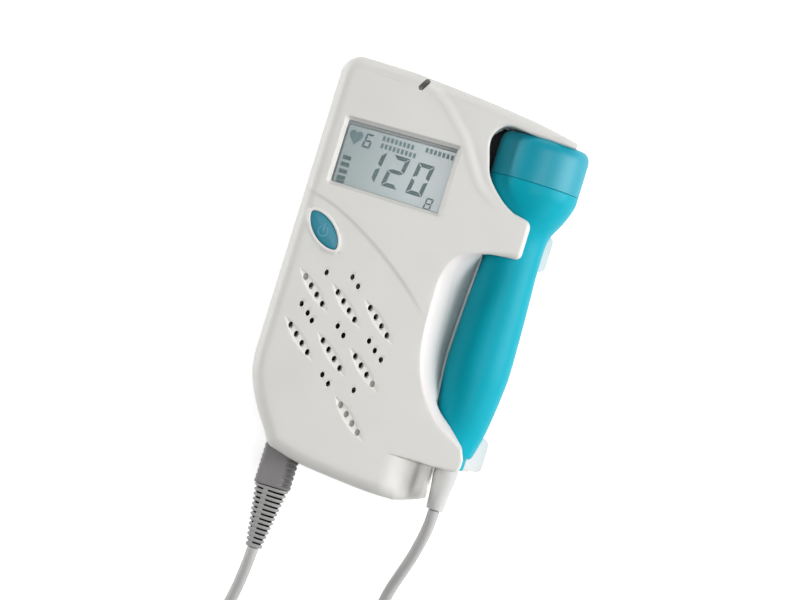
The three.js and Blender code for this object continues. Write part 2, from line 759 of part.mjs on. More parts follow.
for (let i = 0; i < cellCount; i++) {
  const x = bayCentreX + (i - (cellCount - 1) / 2) * (2 * cellRadius + cellGap);
  const way = i % 2 ? -1 : 1;
  const half = cellLength / 2;
  const profile = [
    [0, -half], [cellRadius, -half], [cellRadius, half], [cellNubRadius, half],
    [cellNubRadius, half + cellNubLength], [0, half + cellNubLength],
  ];
  const geometry = new THREE.LatheGeometry(profile.map(([r, y]) => new THREE.Vector2(r, y)), smallSides);
  if (way < 0) geometry.rotateZ(Math.PI);
  geometry.translate(x, bayCentreY - (way * cellNubLength) / 2, cellHeight);
  addPiece(`battery_${i + 1}`, solidOf(geometry), steel);
}

// Pressed contact plates at the ends of the cells
[-1, 1].forEach((end, i) => {
  const outer = bayCentreY + end * (bayLength / 2 - seam);
  const inner = outer - end * contactThickness;
  const half = bayWidth / 2 - seam;
  let plate = box(bayCentreX - half, bayCentreX + half, Math.min(outer, inner), Math.max(outer, inner),
    cellHeight - contactHeight / 2, cellHeight + contactHeight / 2);
  for (let cell = 0; cell < cellCount; cell++) {
    const x = bayCentreX + (cell - (cellCount - 1) / 2) * (2 * cellRadius + cellGap);
    const length = contactBump + contactThickness / 2;
    const geometry = new THREE.CylinderGeometry(contactBumpRadius / 2, contactBumpRadius, length,
      smallSides);
    if (end > 0) geometry.rotateZ(Math.PI);
    geometry.translate(x, inner - end * (contactBump - length / 2), cellHeight);
    plate = plate.add(solidOf(geometry));
  }
  addPiece(`battery_contact_${i + 1}`, plate, steel);
});

// Display: clear window, grey frame, liquid crystal panel and its light
const glazed = (grow, z0, z1) => boxAt(windowX, windowY, windowWidth + 2 * grow,
  windowHeight + 2 * grow, z0, z1, windowRadius);
addPiece('display_window', glazed(glazingLap, glazingTop - glazingThickness, glazingTop), clearSheet);
addPiece('display_frame', glazed(glazingLap, frameTop - frameThickness, frameTop)
  .subtract(glazed(-frameBorder - windowSlope, frameTop - overrun, frameTop + overrun)), darkGrey);
addPiece('lcd_panel', glazed(lcdLap, lcdTop - lcdThickness, lcdTop), lcdGreen);
addPiece('lcd_backlight', glazed(glazingLap, boardFace + seam, backlightTop), clearSheet);

// Circuit board with its chips, on the screw bosses' inner side
const board = box(boardLeft, boardRight, boardFoot, boardTop, boardHeight, boardFace);
addPiece('main_board', board, boardGreen);
const chipFoot = boardHeight - seam - chipThickness;
[['control_chip', boardRight - chipInset], ['sound_chip', boardLeft + chipInset]].forEach(([name, x]) => {
  addPiece(name, box(x - chipWidth / 2, x + chipWidth / 2, boardTop - chipInset - chipWidth / 2,
    boardTop - chipInset + chipWidth / 2, chipFoot, boardHeight - seam), black);
});

// Power button, with a lip behind the wall, and the switch under its stem
const switchTop = boardFace + seam + switchHeight;
const stemFoot = switchTop + buttonTravel + seam / 2;
const lipTop = innerFace - seam;
const button = roundedPrism(buttonOutline(0), lipTop - buttonLipThickness, caseDepth + buttonRise,
  buttonRise, 3)
  .add(prism(buttonOutline(buttonLip), lipTop - buttonLipThickness, lipTop))
  .add(uprightRod(buttonX, buttonY, stemFoot, lipTop, buttonStemRadius));
addPiece('power_button', button, buttonBlue);
addPiece('power_switch', box(buttonX - switchWidth / 2, buttonX + switchWidth / 2,
  buttonY - switchWidth / 2, buttonY + switchWidth / 2, boardFace + seam, switchTop), black);

// Indicator: a smoked light pipe in the top edge, and the lamp under it
const pipeFoot = innerFace - indicatorDepth;
const lightPipe = prism(indicatorOutline(0), pipeFoot, caseDepth + overrun)
  .intersect(roundedPrism(silhouette, 0, caseDepth, frontRound));
addPiece('indicator_lens', lightPipe, darkGrey);
addPiece('indicator_lamp', box(indicatorX - ledWidth / 2, indicatorX + ledWidth / 2,
  indicatorY - ledWidth, indicatorY, pipeFoot - seam - ledHeight, pipeFoot - seam), clearSheet);

// Loudspeaker behind the sound holes
const gasketTop = innerFace - seam;
const rimTop = gasketTop - gasketThickness - seam;
const potTop = rimTop - speakerDepth;
addPiece('speaker_gasket', uprightTurned(speakerX, speakerY, [
  [speakerRadius - speakerRimWidth, gasketTop - gasketThickness],
  [speakerRadius, gasketTop - gasketThickness],
  [speakerRadius, gasketTop], [speakerRadius - speakerRimWidth, gasketTop],
  [speakerRadius - speakerRimWidth, gasketTop - gasketThickness],
]), foamGrey);
addPiece('speaker_frame', uprightTurned(speakerX, speakerY, [
  [speakerPotRadius / 2, potTop], [speakerPotRadius, potTop],
  [speakerRadius - speakerRimWidth, rimTop - speakerRim], [speakerRadius, rimTop - speakerRim],
  [speakerRadius, rimTop], [speakerRadius - speakerRimWidth, rimTop],
  [speakerRadius - speakerRimWidth, rimTop - speakerRim + seam],
  [speakerPotRadius - sheetThickness, potTop + sheetThickness],
  [speakerPotRadius / 2, potTop + sheetThickness], [speakerPotRadius / 2, potTop],
]), steel);
const coneTop = rimTop - seam;
const coneRadius = speakerRadius - speakerRimWidth - 2 * seam;
addPiece('speaker_cone', uprightTurned(speakerX, speakerY, [
  [0, coneTop - coneDepth], [speakerPotRadius / 2, coneTop - coneDepth],
  [coneRadius, coneTop - coneThickness], [coneRadius, coneTop],
  [speakerPotRadius / 2, coneTop - coneDepth + coneThickness], [0, coneTop - coneDepth + coneThickness],
]), black);
addPiece('speaker_magnet', uprightRod(speakerX, speakerY, potTop - seam - magnetHeight, potTop - seam,
  speakerPotRadius, roundSides), steel);

// Screws from the back
screwX.forEach((x, i) => {
  const headTop = screwSink + screwHeadHeight - seam;
  const head = uprightRod(x, screwY[i], screwSink - seam, headTop, screwHeadRadius);
  const slots = box(x - screwHeadRadius, x + screwHeadRadius, screwY[i] - screwSlot / 2,
    screwY[i] + screwSlot / 2, 0, screwSink + screwSlot);
  const shank = uprightRod(x, screwY[i], headTop - screwSlot, screwSink + screwLength, screwRadius,
    holeSides);
  addPiece(`case_screw_${i + 1}`, head.subtract(slots).add(shank), steel);
});

// Socket in the foot, and the plug in it
const noseTop = plugTop + noseLength;
const socketOutline = (grow) => roundedBox(noseWidth + 2 * grow, noseThickness + 2 * grow,
  plugRound / 2 + grow / 2);
addPiece('cord_socket', alongY(socketOutline(socketWall), plugTop + 2 * seam, plugTop + socketDepth)
  .subtract(alongY(socketOutline(seam), plugTop - overrun, noseTop + seam)), black);
addPiece('plug_nose', alongY(socketOutline(0), plugTop + seam, noseTop), steel);

let plugBody = alongY(roundedBox(plugWidth, plugThickness, plugRound), plugFoot, plugTop);
for (let i = 0; i < plugGripCount; i++) {
  const y = plugFoot + plugGripStep * (i + 1);
  for (const side of [-1, 1]) {
    const edge = plugX + (side * plugWidth) / 2;
    plugBody = plugBody.subtract(box(edge - plugGripDepth, edge + plugGripDepth,
      y - plugGripWidth / 2, y + plugGripWidth / 2, 0, caseDepth));
  }
}
addPiece('plug_body', plugBody, darkGrey);

// Slotted strain relief: rings on a core, joined by a spine
const reliefTop = plugFoot - seam;
const taper = new THREE.CylinderGeometry(reliefWidth / 2, reliefTip / 2, reliefLength, roundSides);
taper.scale(1, 1, reliefThickness / reliefWidth);
taper.translate(plugX, reliefTop - reliefLength / 2, plugZ);
let relief = solidOf(taper);
for (let i = 0; i < reliefSlots; i++) {
  const y = reliefTop - reliefSlotStep * (i + 1) + reliefSlotWidth / 2;
  relief = relief
    .subtract(box(plugX - reliefWidth, plugX - reliefSpine - reliefSpineWidth / 2,
      y - reliefSlotWidth, y, 0, caseDepth))
    .subtract(box(plugX - reliefSpine + reliefSpineWidth / 2, plugX + reliefWidth,
      y - reliefSlotWidth, y, 0, caseDepth));
}
const coreOutline = arc(0, 0, reliefCoreRadius, 0, 2 * Math.PI, smallSides).slice(1);
relief = relief.add(alongY(coreOutline, reliefTop - reliefLength, reliefTop));
addPiece('plug_relief', relief, darkGrey);

// Probe: a hollow body, a cap with the acoustic face, and what it holds
const capFoot = probeFoot + capShare * probeLength;
const bodyOutside = probeShares.map(([y, r]) => [r * headRadius, probeFoot + y * probeLength]);
bodyOutside[bodyOutside.length - 1][1] -= seam;
const bodyInside = bodyOutside.slice(1).map(([r, y]) => [r - probeWall, y]).reverse();
const bore = bootSpigotRadius + seam;
const nozzleTop = probeFoot + nozzleShare * probeLength;
addPiece('probe_body', turned([
  [bore, probeFoot], [nozzleRadius, probeFoot], [nozzleRadius, nozzleTop], ...bodyOutside,
  ...bodyInside, [bore, nozzleTop + probeWall], [bore, probeFoot],
]), probeTeal);

const faceSeat = faceRadius + seam;
const capInside = headRadius - probeWall;
addPiece('probe_cap', turned([
  [capInside, capFoot], [headRadius, capFoot],
  ...arc(headRadius - faceRound, probeTop - faceRound, faceRound, 0, Math.PI / 2, 4),
  [faceSeat, probeTop], [faceSeat, probeTop - faceThickness - seam],
  [faceSeat - probeWall, probeTop - faceThickness - seam],
  [faceSeat - probeWall, probeTop - faceThickness - seam - probeWall],
  [capInside, probeTop - faceThickness - seam - probeWall], [capInside, capFoot],
]), probeTeal);

const disc = (radius, y0, y1) => turned([[0, y0], [radius, y0], [radius, y1], [0, y1]]);
addPiece('acoustic_face', disc(faceRadius, probeTop - faceThickness, probeTop), cordGrey);
const crystalTop = probeTop - faceThickness - seam;
[-1, 1].forEach((side, i) => {
  const keep = side > 0
    ? box(probeX + crystalGap / 2, farRight, -farUp, farUp, -farUp, farUp)
    : box(-farRight, probeX - crystalGap / 2, -farUp, farUp, -farUp, farUp);
  addPiece(`crystal_${i + 1}`, disc(crystalRadius, crystalTop - crystalThickness, crystalTop)
    .intersect(keep), steel);
});
const backingTop = crystalTop - crystalThickness - seam;
addPiece('crystal_backing', disc(backingRadius, backingTop - backingThickness, backingTop)
  .intersect(box(-farRight, farRight, -farUp, farUp, -farUp, farUp)), foamGrey);
const probeBoardTop = backingTop - backingThickness - seam;
addPiece('probe_board', box(probeX - probeBoardWidth / 2, probeX + probeBoardWidth / 2,
  probeBoardTop - probeBoardLength, probeBoardTop, probeZ - probeBoardThickness / 2 - boardRest,
  probeZ + probeBoardThickness / 2 - boardRest), boardGreen);

const bootTop = probeFoot - seam;
const bootTip = bootTop - bootLength;
addPiece('cord_boot', turned([
  [0, bootTip], [bootTipRadius, bootTip],
  [bootTipRadius + (bootRadius - bootTipRadius) * bootWaistShare, bootTip + bootLength / 2],
  [bootRadius, bootTop - bootLength * bootWaistShare], [bootRadius, bootTop],
  [bootSpigotRadius, bootTop], [bootSpigotRadius, bootTop + bootSpigotLength],
  [0, bootTop + bootSpigotLength],
]), cordGrey);

// Cord: a free stretch at each end and a coil between them

function cordAlong(route) {
  const curve = new THREE.CatmullRomCurve3(route.map(([x, y, z]) => new THREE.Vector3(x, y, z)));
  const section = new THREE.Shape(arc(0, 0, cordDiameter / 2, 0, 2 * Math.PI, cordSides).slice(1)
    .map(([x, y]) => new THREE.Vector2(x, y)));
  const steps = Math.round(curve.getLength() / (2 * cordDiameter)) + 4;
  return solidOf(new THREE.ExtrudeGeometry(section, { steps, bevelEnabled: false, extrudePath: curve }));
}

// The coil spirals in, climbs a layer in the half turn where it turns back, and spirals out
function coilLine() {
  const steps = coilTurns * coilStepsPerTurn;
  const middle = coilTurns / 2;
  const points = [];
  const outside = coilInside + coilPitch * middle;
  points.push([coilX + outside, coilY + cordDiameter, coilFoot]);
  for (let i = 0; i <= steps; i++) {
    const turn = i / coilStepsPerTurn;
    const radius = coilInside + coilPitch * Math.abs(turn - middle);
    const climb = THREE.MathUtils.smoothstep(turn, middle - 1 / 4, middle + 1 / 4);
    const angle = -2 * Math.PI * turn;
    points.push([coilX + radius * Math.cos(angle), coilY + radius * Math.sin(angle),
      coilFoot + coilPitch * climb]);
  }
  points.push([coilX - outside, coilY + cordDiameter, coilFoot + coilPitch]);
  return points.map(([x, y, z]) => new THREE.Vector3(x, y, z));
}

// A tube of rings square to a line, which never turns far from level
function tubeAlong(line, radius, sides) {
  const positions = [];
  const index = [];
  const up = new THREE.Vector3(0, 0, 1);
  line.forEach((point, i) => {
    const before = line[Math.max(i - 1, 0)];
    const after = line[Math.min(i + 1, line.length - 1)];
    const ahead = new THREE.Vector3().subVectors(after, before).normalize();
    const side = new THREE.Vector3().crossVectors(ahead, up).normalize();
    const over = new THREE.Vector3().crossVectors(side, ahead);
    for (let k = 0; k < sides; k++) {
      const angle = (2 * Math.PI * k) / sides;
      const out = new THREE.Vector3().addScaledVector(side, radius * Math.cos(angle))
        .addScaledVector(over, radius * Math.sin(angle));
      positions.push(point.x + out.x, point.y + out.y, point.z + out.z);
    }
  });
  for (let i = 0; i < line.length - 1; i++) {
    for (let k = 0; k < sides; k++) {
      const a = i * sides + k;
      const b = i * sides + ((k + 1) % sides);
      index.push(a, a + sides, b + sides, a, b + sides, b);
    }
  }
  const last = (line.length - 1) * sides;
  for (let k = 1; k < sides - 1; k++) {
    index.push(0, k, k + 1);
    index.push(last, last + k + 1, last + k);
  }
  const geometry = new THREE.BufferGeometry();
  geometry.setAttribute('position', new THREE.Float32BufferAttribute(positions, 3));
  geometry.setIndex(index);
  return geometry;
}

// The least gap of a coil to itself, between points more than half a turn apart along it
function leastGap(line, diameter, apart) {
  const curve = new THREE.CatmullRomCurve3(line);
  const points = curve.getSpacedPoints(line.length * 4);
  const skip = Math.ceil((apart / curve.getLength()) * points.length);
  let least = Infinity;
  for (let i = 0; i < points.length; i++) {
    for (let j = i + skip; j < points.length; j++) {
      least = Math.min(least, points[i].distanceTo(points[j]));
    }
  }
  return least - diameter;
}

addPiece('probe_cord', cordAlong(probeRoute), cordGrey);
addPiece('plug_cord', cordAlong(plugRoute), cordGrey);
const line = coilLine();
addPiece('cord_coil', solidOf(tubeAlong(line, cordDiameter / 2, coilSides)), cordGrey);
const gap = leastGap(line, cordDiameter, Math.PI * coilInside);
console.log(`The coil's least gap to itself is ${gap.toFixed(2)} mm.`);

// Hook-and-loop tie round the coil, at the side away from the unit
const coilMiddle = coilInside + (coilPitch * coilTurns) / 4;
const tieRadial = (coilPitch * coilTurns) / 4 + cordDiameter / 2 + tieRoom;
const tieHeight = (coilPitch + cordDiameter) / 2 + tieRoom;
const tieZ = coilFoot + coilPitch / 2;
const tieShape = (grow) => roundedBox(2 * (tieRadial + grow), 2 * (tieHeight + grow),
  cordDiameter / 2 + grow);
const band = shapeOf(tieShape(tieThickness));
band.holes.push(shapeOf(tieShape(0)));
const tie = new THREE.ExtrudeGeometry(band, { depth: tieWidth, bevelEnabled: false });
tie.rotateY(Math.PI / 2);
tie.rotateX(Math.PI / 2);
tie.translate(coilX - tieWidth / 2, coilY - coilMiddle, tieZ);
addPiece('coil_tie', solidOf(tie), black);

export default group;
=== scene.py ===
# %% [markdown]
# # A pocket fetal doppler, dressed in Blender
# The real thing is a palm-sized plastic case that lies on its back. A teal probe is clipped into a bay
# along its right side, and a grey cord joins the probe to a plug in the case's foot.
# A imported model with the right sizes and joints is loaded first. It could be shown as it is, but its
# faces are coarse, so this lesson builds a fine surface for each part on the same sizes, in millimetres,
# and turns them into metres only when a mesh is made.

import math

import bmesh
import bpy
import numpy as np
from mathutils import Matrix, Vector
from mathutils.geometry import delaunay_2d_cdt


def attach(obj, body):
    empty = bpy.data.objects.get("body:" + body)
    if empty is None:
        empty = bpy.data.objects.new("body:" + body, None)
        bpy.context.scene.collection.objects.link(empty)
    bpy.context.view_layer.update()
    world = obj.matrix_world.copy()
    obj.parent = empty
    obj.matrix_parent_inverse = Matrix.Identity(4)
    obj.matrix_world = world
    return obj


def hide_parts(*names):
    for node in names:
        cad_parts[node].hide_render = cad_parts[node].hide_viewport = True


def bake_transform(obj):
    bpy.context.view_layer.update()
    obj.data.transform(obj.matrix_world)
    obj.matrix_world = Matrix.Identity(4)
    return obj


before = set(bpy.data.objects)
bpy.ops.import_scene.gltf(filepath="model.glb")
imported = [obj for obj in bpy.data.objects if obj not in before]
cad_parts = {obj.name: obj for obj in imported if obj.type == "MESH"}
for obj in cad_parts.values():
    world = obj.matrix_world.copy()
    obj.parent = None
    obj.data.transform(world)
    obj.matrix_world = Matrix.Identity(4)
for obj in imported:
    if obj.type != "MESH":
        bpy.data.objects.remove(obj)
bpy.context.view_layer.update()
MM = 0.001

# %% [markdown]
# ## The camera
# The unit was photographed from straight above with a long lens, and the picture was turned so that the
# unit leans to the right. A constraint could aim the camera, but a camera with no rotation already looks
# straight down with +Y up, so a turn about Z is all that it needs. A long lens from 90 cm keeps the case's
# side walls out of sight, as in the photograph.

# %% Camera
camera_height = 933
camera_x, camera_y = -3.25, -4.9
camera_roll = 17.15
pixels_per_mm, picture_wide = 2.93, 800
face_z = 33.0

camera_data = bpy.data.cameras.new("camera")
camera_data.sensor_width = 36
camera_data.lens = pixels_per_mm * (camera_height - face_z) * camera_data.sensor_width / picture_wide
camera_data.clip_start = 0.01
camera = bpy.data.objects.new("camera", camera_data)
camera.location = (camera_x * MM, camera_y * MM, camera_height * MM)
camera.rotation_euler = (0, 0, math.radians(camera_roll))
bpy.context.scene.collection.objects.link(camera)
bpy.context.scene.camera = camera
print("lens", round(camera_data.lens, 1), "mm")

# %% [markdown]
# ## Meshes from points
# Every part below ends as a list of points and faces, and one helper turns that list into an object. Parts
# could also be modelled by hand from Blender's primitives, but lists keep every size in sight and give the
# same part on each run. Faces are shaded smooth, and only edges that turn by more than a given angle stay
# sharp, which is how a moulded part looks: soft over its curves and crisp at its corners.

# %% Mesh helper
def make_mesh(name, points, faces, sharp=35):
    """An object from points in millimetres, smooth apart from edges that turn by more than the angle."""
    mesh = bpy.data.meshes.new(name)
    mesh.from_pydata([tuple(float(v) * MM for v in p) for p in points], [], [tuple(f) for f in faces])
    mesh.validate()
    mesh.update()
    mesh.shade_smooth()
    mesh.set_sharp_from_angle(angle=math.radians(sharp))
    piece = bpy.data.objects.new(name, mesh)
    bpy.context.scene.collection.objects.link(piece)
    return piece


def dress(piece, body, slot, material, *nodes):
    """Gives a piece its finish and the body it rides on, and hides the solids that it stands for; the slot is
    not used.
    """
    piece.data.materials.clear()
    piece.data.materials.append(material)
    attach(piece, body)
    if nodes:
        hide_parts(*nodes)
    return piece


print("one Blender unit is", round(1 / MM), "mm")

# %% [markdown]
# ## The recipe for plastic and rubber
# Moulded plastic is never one flat colour. Light sinks in a little, the surface has a fine grain from
# the mould, and its gloss varies over a few millimetres. A painted picture could show all that, but it
# would have to be laid out over every piece, and noise in the piece's own space needs no layout. So one
# recipe makes all the plastics and rubbers: the Principled shader, with a noise that shifts the colour
# slightly, another that shifts the roughness, and a fine one that drives a bump. A finish is then one line,
# written where its first piece is made.

# %% Colours, nodes and links
def srgb(*values):
    """Colours are written as they look on screen, from 0 to 255, and the shader wants linear ones."""
    shares = [v / 255 for v in values]
    return [s / 12.92 if s <= 0.04045 else ((s + 0.055) / 1.055) ** 2.4 for s in shares]


def set_inputs(node, **values):
    """Sets a node's inputs by name, where an underscore stands for a space."""
    for name, value in values.items():
        node.inputs[name.replace("_", " ")].default_value = value
    return node


def add_node(material, kind, **values):
    return set_inputs(material.node_tree.nodes.new("ShaderNode" + kind), **values)


def link(material, source, output, target, entry):
    material.node_tree.links.new(source.outputs[output], target.inputs[entry])


def add_noise(material, place, scale, detail):
    noise = add_node(material, "TexNoise", Scale=scale, Detail=detail)
    link(material, place, "Object", noise, "Vector")
    return noise


def principled(material):
    return material.node_tree.nodes["Principled BSDF"]


print("a grey of 128 on screen is", round(srgb(128)[0], 3), "for the shader")

# %% Recipe for plastic and rubber
def grained(name, color, rough, tint=0.04, grain=900, bump=0.02, swing=0.08, specular=0.5, coat=0,
            subsurface=0):
    """Tint, swing and bump say how much the colour, the gloss and the surface vary."""
    material = bpy.data.materials.new(name)
    material.use_nodes = True
    shader = set_inputs(principled(material), Specular_IOR_Level=specular, Coat_Weight=coat,
                        Coat_Roughness=0.12, Subsurface_Weight=subsurface,
                        Subsurface_Radius=(0.003, 0.003, 0.003))
    place = add_node(material, "TexCoord")

    cloud = add_noise(material, place, 60, 4)
    tones = add_node(material, "ValToRGB")
    for stop, position, shift in zip(tones.color_ramp.elements, (0.3, 0.7), (1 - tint, 1 + tint)):
        stop.position = position
        stop.color = (*[min(1, c * shift) for c in color], 1)
    link(material, cloud, "Fac", tones, "Fac")
    link(material, tones, "Color", shader, "Base Color")

    gloss = add_noise(material, place, 140, 3)
    spread = add_node(material, "MapRange", To_Min=max(0.03, rough - swing), To_Max=min(1, rough + swing))
    link(material, gloss, "Fac", spread, "Value")
    link(material, spread, "Result", shader, "Roughness")

    fine = add_noise(material, place, grain, 2)
    relief = add_node(material, "Bump", Strength=bump * 10, Distance=0.0001)
    link(material, fine, "Fac", relief, "Height")
    link(material, relief, "Normal", shader, "Normal")
    return material


shell_white = grained("shell_white", srgb(224, 223, 219), 0.42, tint=0.012, bump=0.012)
print("nodes in one finish:", len(shell_white.node_tree.nodes))

# %% [markdown]
# ## The cord
# A thin grey cord leaves the boot on the probe, falls to the table, is put away in a coil beyond the
# picture, and comes back to the plug. A curve with a bevel would do for a still cord, but the probe and
# the plug pull out, so the two free stretches have to bend, and only a mesh can. Their routes are the
# points of the solid model, with a smooth line through them.

# %% Routes of the free stretches
probe_route = [(29.6, -71.3, 17.4), (29.5, -75, 17.2), (29.1, -79.5, 16.2), (28.3, -84.5, 14),
               (27.2, -90, 10.9), (25.6, -96, 7.8), (23.9, -102, 5.3), (22.7, -108, 3.9),
               (22.3, -114, 3.3), (22.8, -120, 3.1), (23.9, -126, 3.1), (25.3, -132, 3.1),
               (26.5, -138, 3.1), (27.4, -144, 3.1), (27.65, -149.7, 3.1)]
plug_route = [(-26.7, -102.2, 15.5), (-26.9, -106, 15.3), (-27.3, -111, 14.4), (-28, -117, 12.9),
              (-29.2, -124, 11), (-30.6, -131, 9.3), (-32, -138, 8.2), (-33.1, -144, 7.8),
              (-33.65, -149.7, 7.7)]


def spline(points, steps):
    """A smooth line through the points, each stretch steered by its neighbours."""
    p = np.array(points, float)
    last = len(p) - 1
    line = []
    for k in range(steps + 1):
        t = k * last / steps
        i = min(int(t), last - 1)
        w = t - i
        a, b, c, d = p[max(i - 1, 0)], p[i], p[i + 1], p[min(i + 2, last)]
        v0, v1 = (c - a) / 2, (d - b) / 2
        line.append((2 * b - 2 * c + v0 + v1) * w**3 + (3 * c - 3 * b - 2 * v0 - v1) * w**2 + v0 * w + b)
    return np.array(line)


def line_length(line):
    return float(np.linalg.norm(np.diff(np.array(line), axis=0), axis=1).sum())


probe_line = spline(probe_route, 56)
plug_line = spline(plug_route, 36)
print("probe side:", round(line_length(probe_line)), "mm, plug side:", round(line_length(plug_line)), "mm")

# %% [markdown]
# ## The coil
# More than a metre of cord is too much to lie loose, so the rest of it is put away in a coil. A screw
# modifier could wind it, but the coil has to meet the two free stretches at its ends. So its line is
# worked out point by point: it spirals in, climbs a layer where it turns back, and spirals out on top.

# %% Route of the coil
coil_x, coil_y, coil_foot = -3, -154, 3.1
coil_inside, coil_pitch, coil_turns, coil_lead = 13.4, 4.6, 7.5, 4


def coil_line(steps_per_turn=40):
    """The coil's points, from its outer end inwards, and out again one layer up."""
    middle = coil_turns / 2
    outside = coil_inside + coil_pitch * middle
    line = [(coil_x + outside, coil_y + coil_lead, coil_foot)]
    for i in range(int(coil_turns * steps_per_turn) + 1):
        turn = i / steps_per_turn
        radius = coil_inside + coil_pitch * abs(turn - middle)
        t = min(max((turn - middle + 0.25) / 0.5, 0), 1)
        climb = t * t * (3 - 2 * t)
        angle = -2 * math.pi * turn
        line.append((coil_x + radius * math.cos(angle), coil_y + radius * math.sin(angle),
                     coil_foot + coil_pitch * climb))
    line.append((coil_x - outside, coil_y + coil_lead, coil_foot + coil_pitch))
    return np.array(line)


wound_line = coil_line()
print("coil:", round(line_length(wound_line)), "mm")

# %% [markdown]
# ## Tubes along a route
# The cord is round and of one thickness. A curve with a bevel could be converted to a mesh. Here rings are
# laid square to the line instead: the line never turns far from level, so each ring can be kept upright,
# and the tube doesn't twist.

# %% Tubes along a route
cord_radius = 2


def tube(name, line, radius, sides=20):
    """A tube of rings square to a line that never turns far from level, closed at both ends."""
    line = np.array(line, float)
    ahead = np.gradient(line, axis=0)
    ahead /= np.linalg.norm(ahead, axis=1)[:, None]
    across = np.cross(ahead, (0, 0, 1.0))
    across /= np.linalg.norm(across, axis=1)[:, None]
    over = np.cross(across, ahead)
    points, faces = [], []
    for p, u, v in zip(line, across, over):
        for k in range(sides):
            angle = 2 * math.pi * k / sides
            points.append(p + radius * (math.cos(angle) * u + math.sin(angle) * v))
    for i in range(len(line) - 1):
        for k in range(sides):
            a, b = i * sides + k, i * sides + (k + 1) % sides
            faces.append((a, a + sides, b + sides, b))
    last = (len(line) - 1) * sides
    faces.append(tuple(range(sides)))
    faces.append(tuple(last + k for k in reversed(range(sides))))
    return make_mesh(name, points, faces, sharp=50)


cords = {name: tube(name, line, cord_radius) for name, line in (
    ("cord_probe_side", probe_line), ("cord_wound", wound_line), ("cord_plug_side", plug_line))}
print("cord faces:", [len(piece.data.polygons) for piece in cords.values()])

# %% [markdown]
# ## Laying the cord
# The three stretches are one cord and take one grey. The coil rides with the case, and the two free
# stretches stay where they lie, from the probe and from the plug to the two ends of the coil.

# %% Lay the cord
cord_grey = grained("cord_grey", srgb(188, 187, 186), 0.5, tint=0.03, bump=0.03)
for name, node in (("cord_probe_side", "probe_cord"), ("cord_wound", "cord_coil"),
                   ("cord_plug_side", "plug_cord")):
    cords[name].data.materials.append(cord_grey)
    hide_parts(node)
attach(cords["cord_wound"], "case")
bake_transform(cords["cord_probe_side"])
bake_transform(cords["cord_plug_side"])


print("cord in all:", round(sum(line_length(p) for p in (probe_line, wound_line, plug_line))), "mm")

# %% [markdown]
# ## Rounded boxes and lofts
# Many moulded parts are a row of similar outlines with faces between them. In edit mode, bridging edge
# loops joins outlines by hand. One helper here joins any number of them, and another draws the outline
# that is needed most, a rectangle with rounded corners.

# %% Rounded boxes and lofts
def rounded_box(width, height, radius, steps=8):
    """A rounded rectangle about the origin, anticlockwise from its right side."""
    x, y = width / 2 - radius, height / 2 - radius
    points = []
    for k, (cx, cy) in enumerate(((x, y), (-x, y), (-x, -y), (x, -y))):
        for i in range(steps + 1):
            angle = (k + i / steps) * math.pi / 2
            points.append((cx + radius * math.cos(angle), cy + radius * math.sin(angle)))
    return points


def loft(rings, capped=(True, True)):
    """Faces between rings that have the same number of points, and lids on the two ends."""
    n = len(rings[0])
    points = [p for ring in rings for p in ring]
    faces = [(r * n + k, r * n + (k + 1) % n, (r + 1) * n + (k + 1) % n, (r + 1) * n + k)
             for r in range(len(rings) - 1) for k in range(n)]
    if capped[0]:
        faces.append(tuple(reversed(range(n))))
    if capped[1]:
        faces.append(tuple((len(rings) - 1) * n + k for k in range(n)))
    return points, faces


print("points of a rounded box:", len(rounded_box(2, 1, 0.2)))

# %% [markdown]
# ## The tie
# The coil is kept together by a short strip of hook-and-loop tape, a flat band that goes once round the
# turns. A strip with a solidify modifier would do, but a loft between rounded loops gives it its
# thickness and its worn edges at once.

# %% Tie round the coil
tie_fabric = grained("tie_fabric", srgb(70, 70, 74), 0.95, tint=0.25, grain=2600, bump=0.35, specular=0.15)
tie_middle_y = coil_y - (coil_inside + coil_pitch * coil_turns / 4)
tie_z = coil_foot + coil_pitch / 2
tie_width, tie_thick, tie_wear = 9, 0.7, 0.35
turns_half_wide, turns_half_high, turns_corner = 10.98, 4.65, 2
loop_in = rounded_box(2 * turns_half_wide, 2 * turns_half_high, turns_corner)
loop_out = rounded_box(2 * (turns_half_wide + tie_thick), 2 * (turns_half_high + tie_thick),
                       turns_corner + tie_thick)
tie_rings = []
for loop, side in ((loop_in, -1), (loop_out, -1), (loop_out, 1), (loop_in, 1)):
    edge = tie_width / 2 - (tie_wear if loop is loop_out else 0)
    tie_rings.append([(coil_x + side * edge, tie_middle_y + u, tie_z + v) for u, v in loop])
tie_points, tie_faces = loft(tie_rings + [tie_rings[0]], capped=(False, False))
tie = dress(make_mesh("coil_tie_band", tie_points, [tuple(reversed(f)) for f in tie_faces], sharp=50),
            "case", "tie_fabric", tie_fabric, "coil_tie")
print("tie:", len(tie.data.polygons), "faces")

# %% [markdown]
# ## The case's lines, seen from above
# All of the case's character is in its plan: a tall body, a hood over the probe's head, a finger across
# its neck, a long scallop for the hand, and a second finger at the foot. Curves drawn by eye would do for
# a picture. The lines below are the solid model's own, which keeps the dressed case on its outline, and
# are given as shares of the case's half width and half length, or of the probe's length.

# %% Lines of the case
half_wide, half_long = 45.6, 71.2
probe_x, probe_z, probe_foot, probe_length = 29.6, 17.4, -55.3, 117.7
finger_reach, past_edge = 32.1, 58


def case_line(shares, step=0.7):
    return even(spline([(x * half_wide, y * half_long) for x, y in shares], 160), step)


def bay_line(shares, count=100):
    return spline([(x * finger_reach, probe_foot + y * probe_length) for x, y in shares], count)


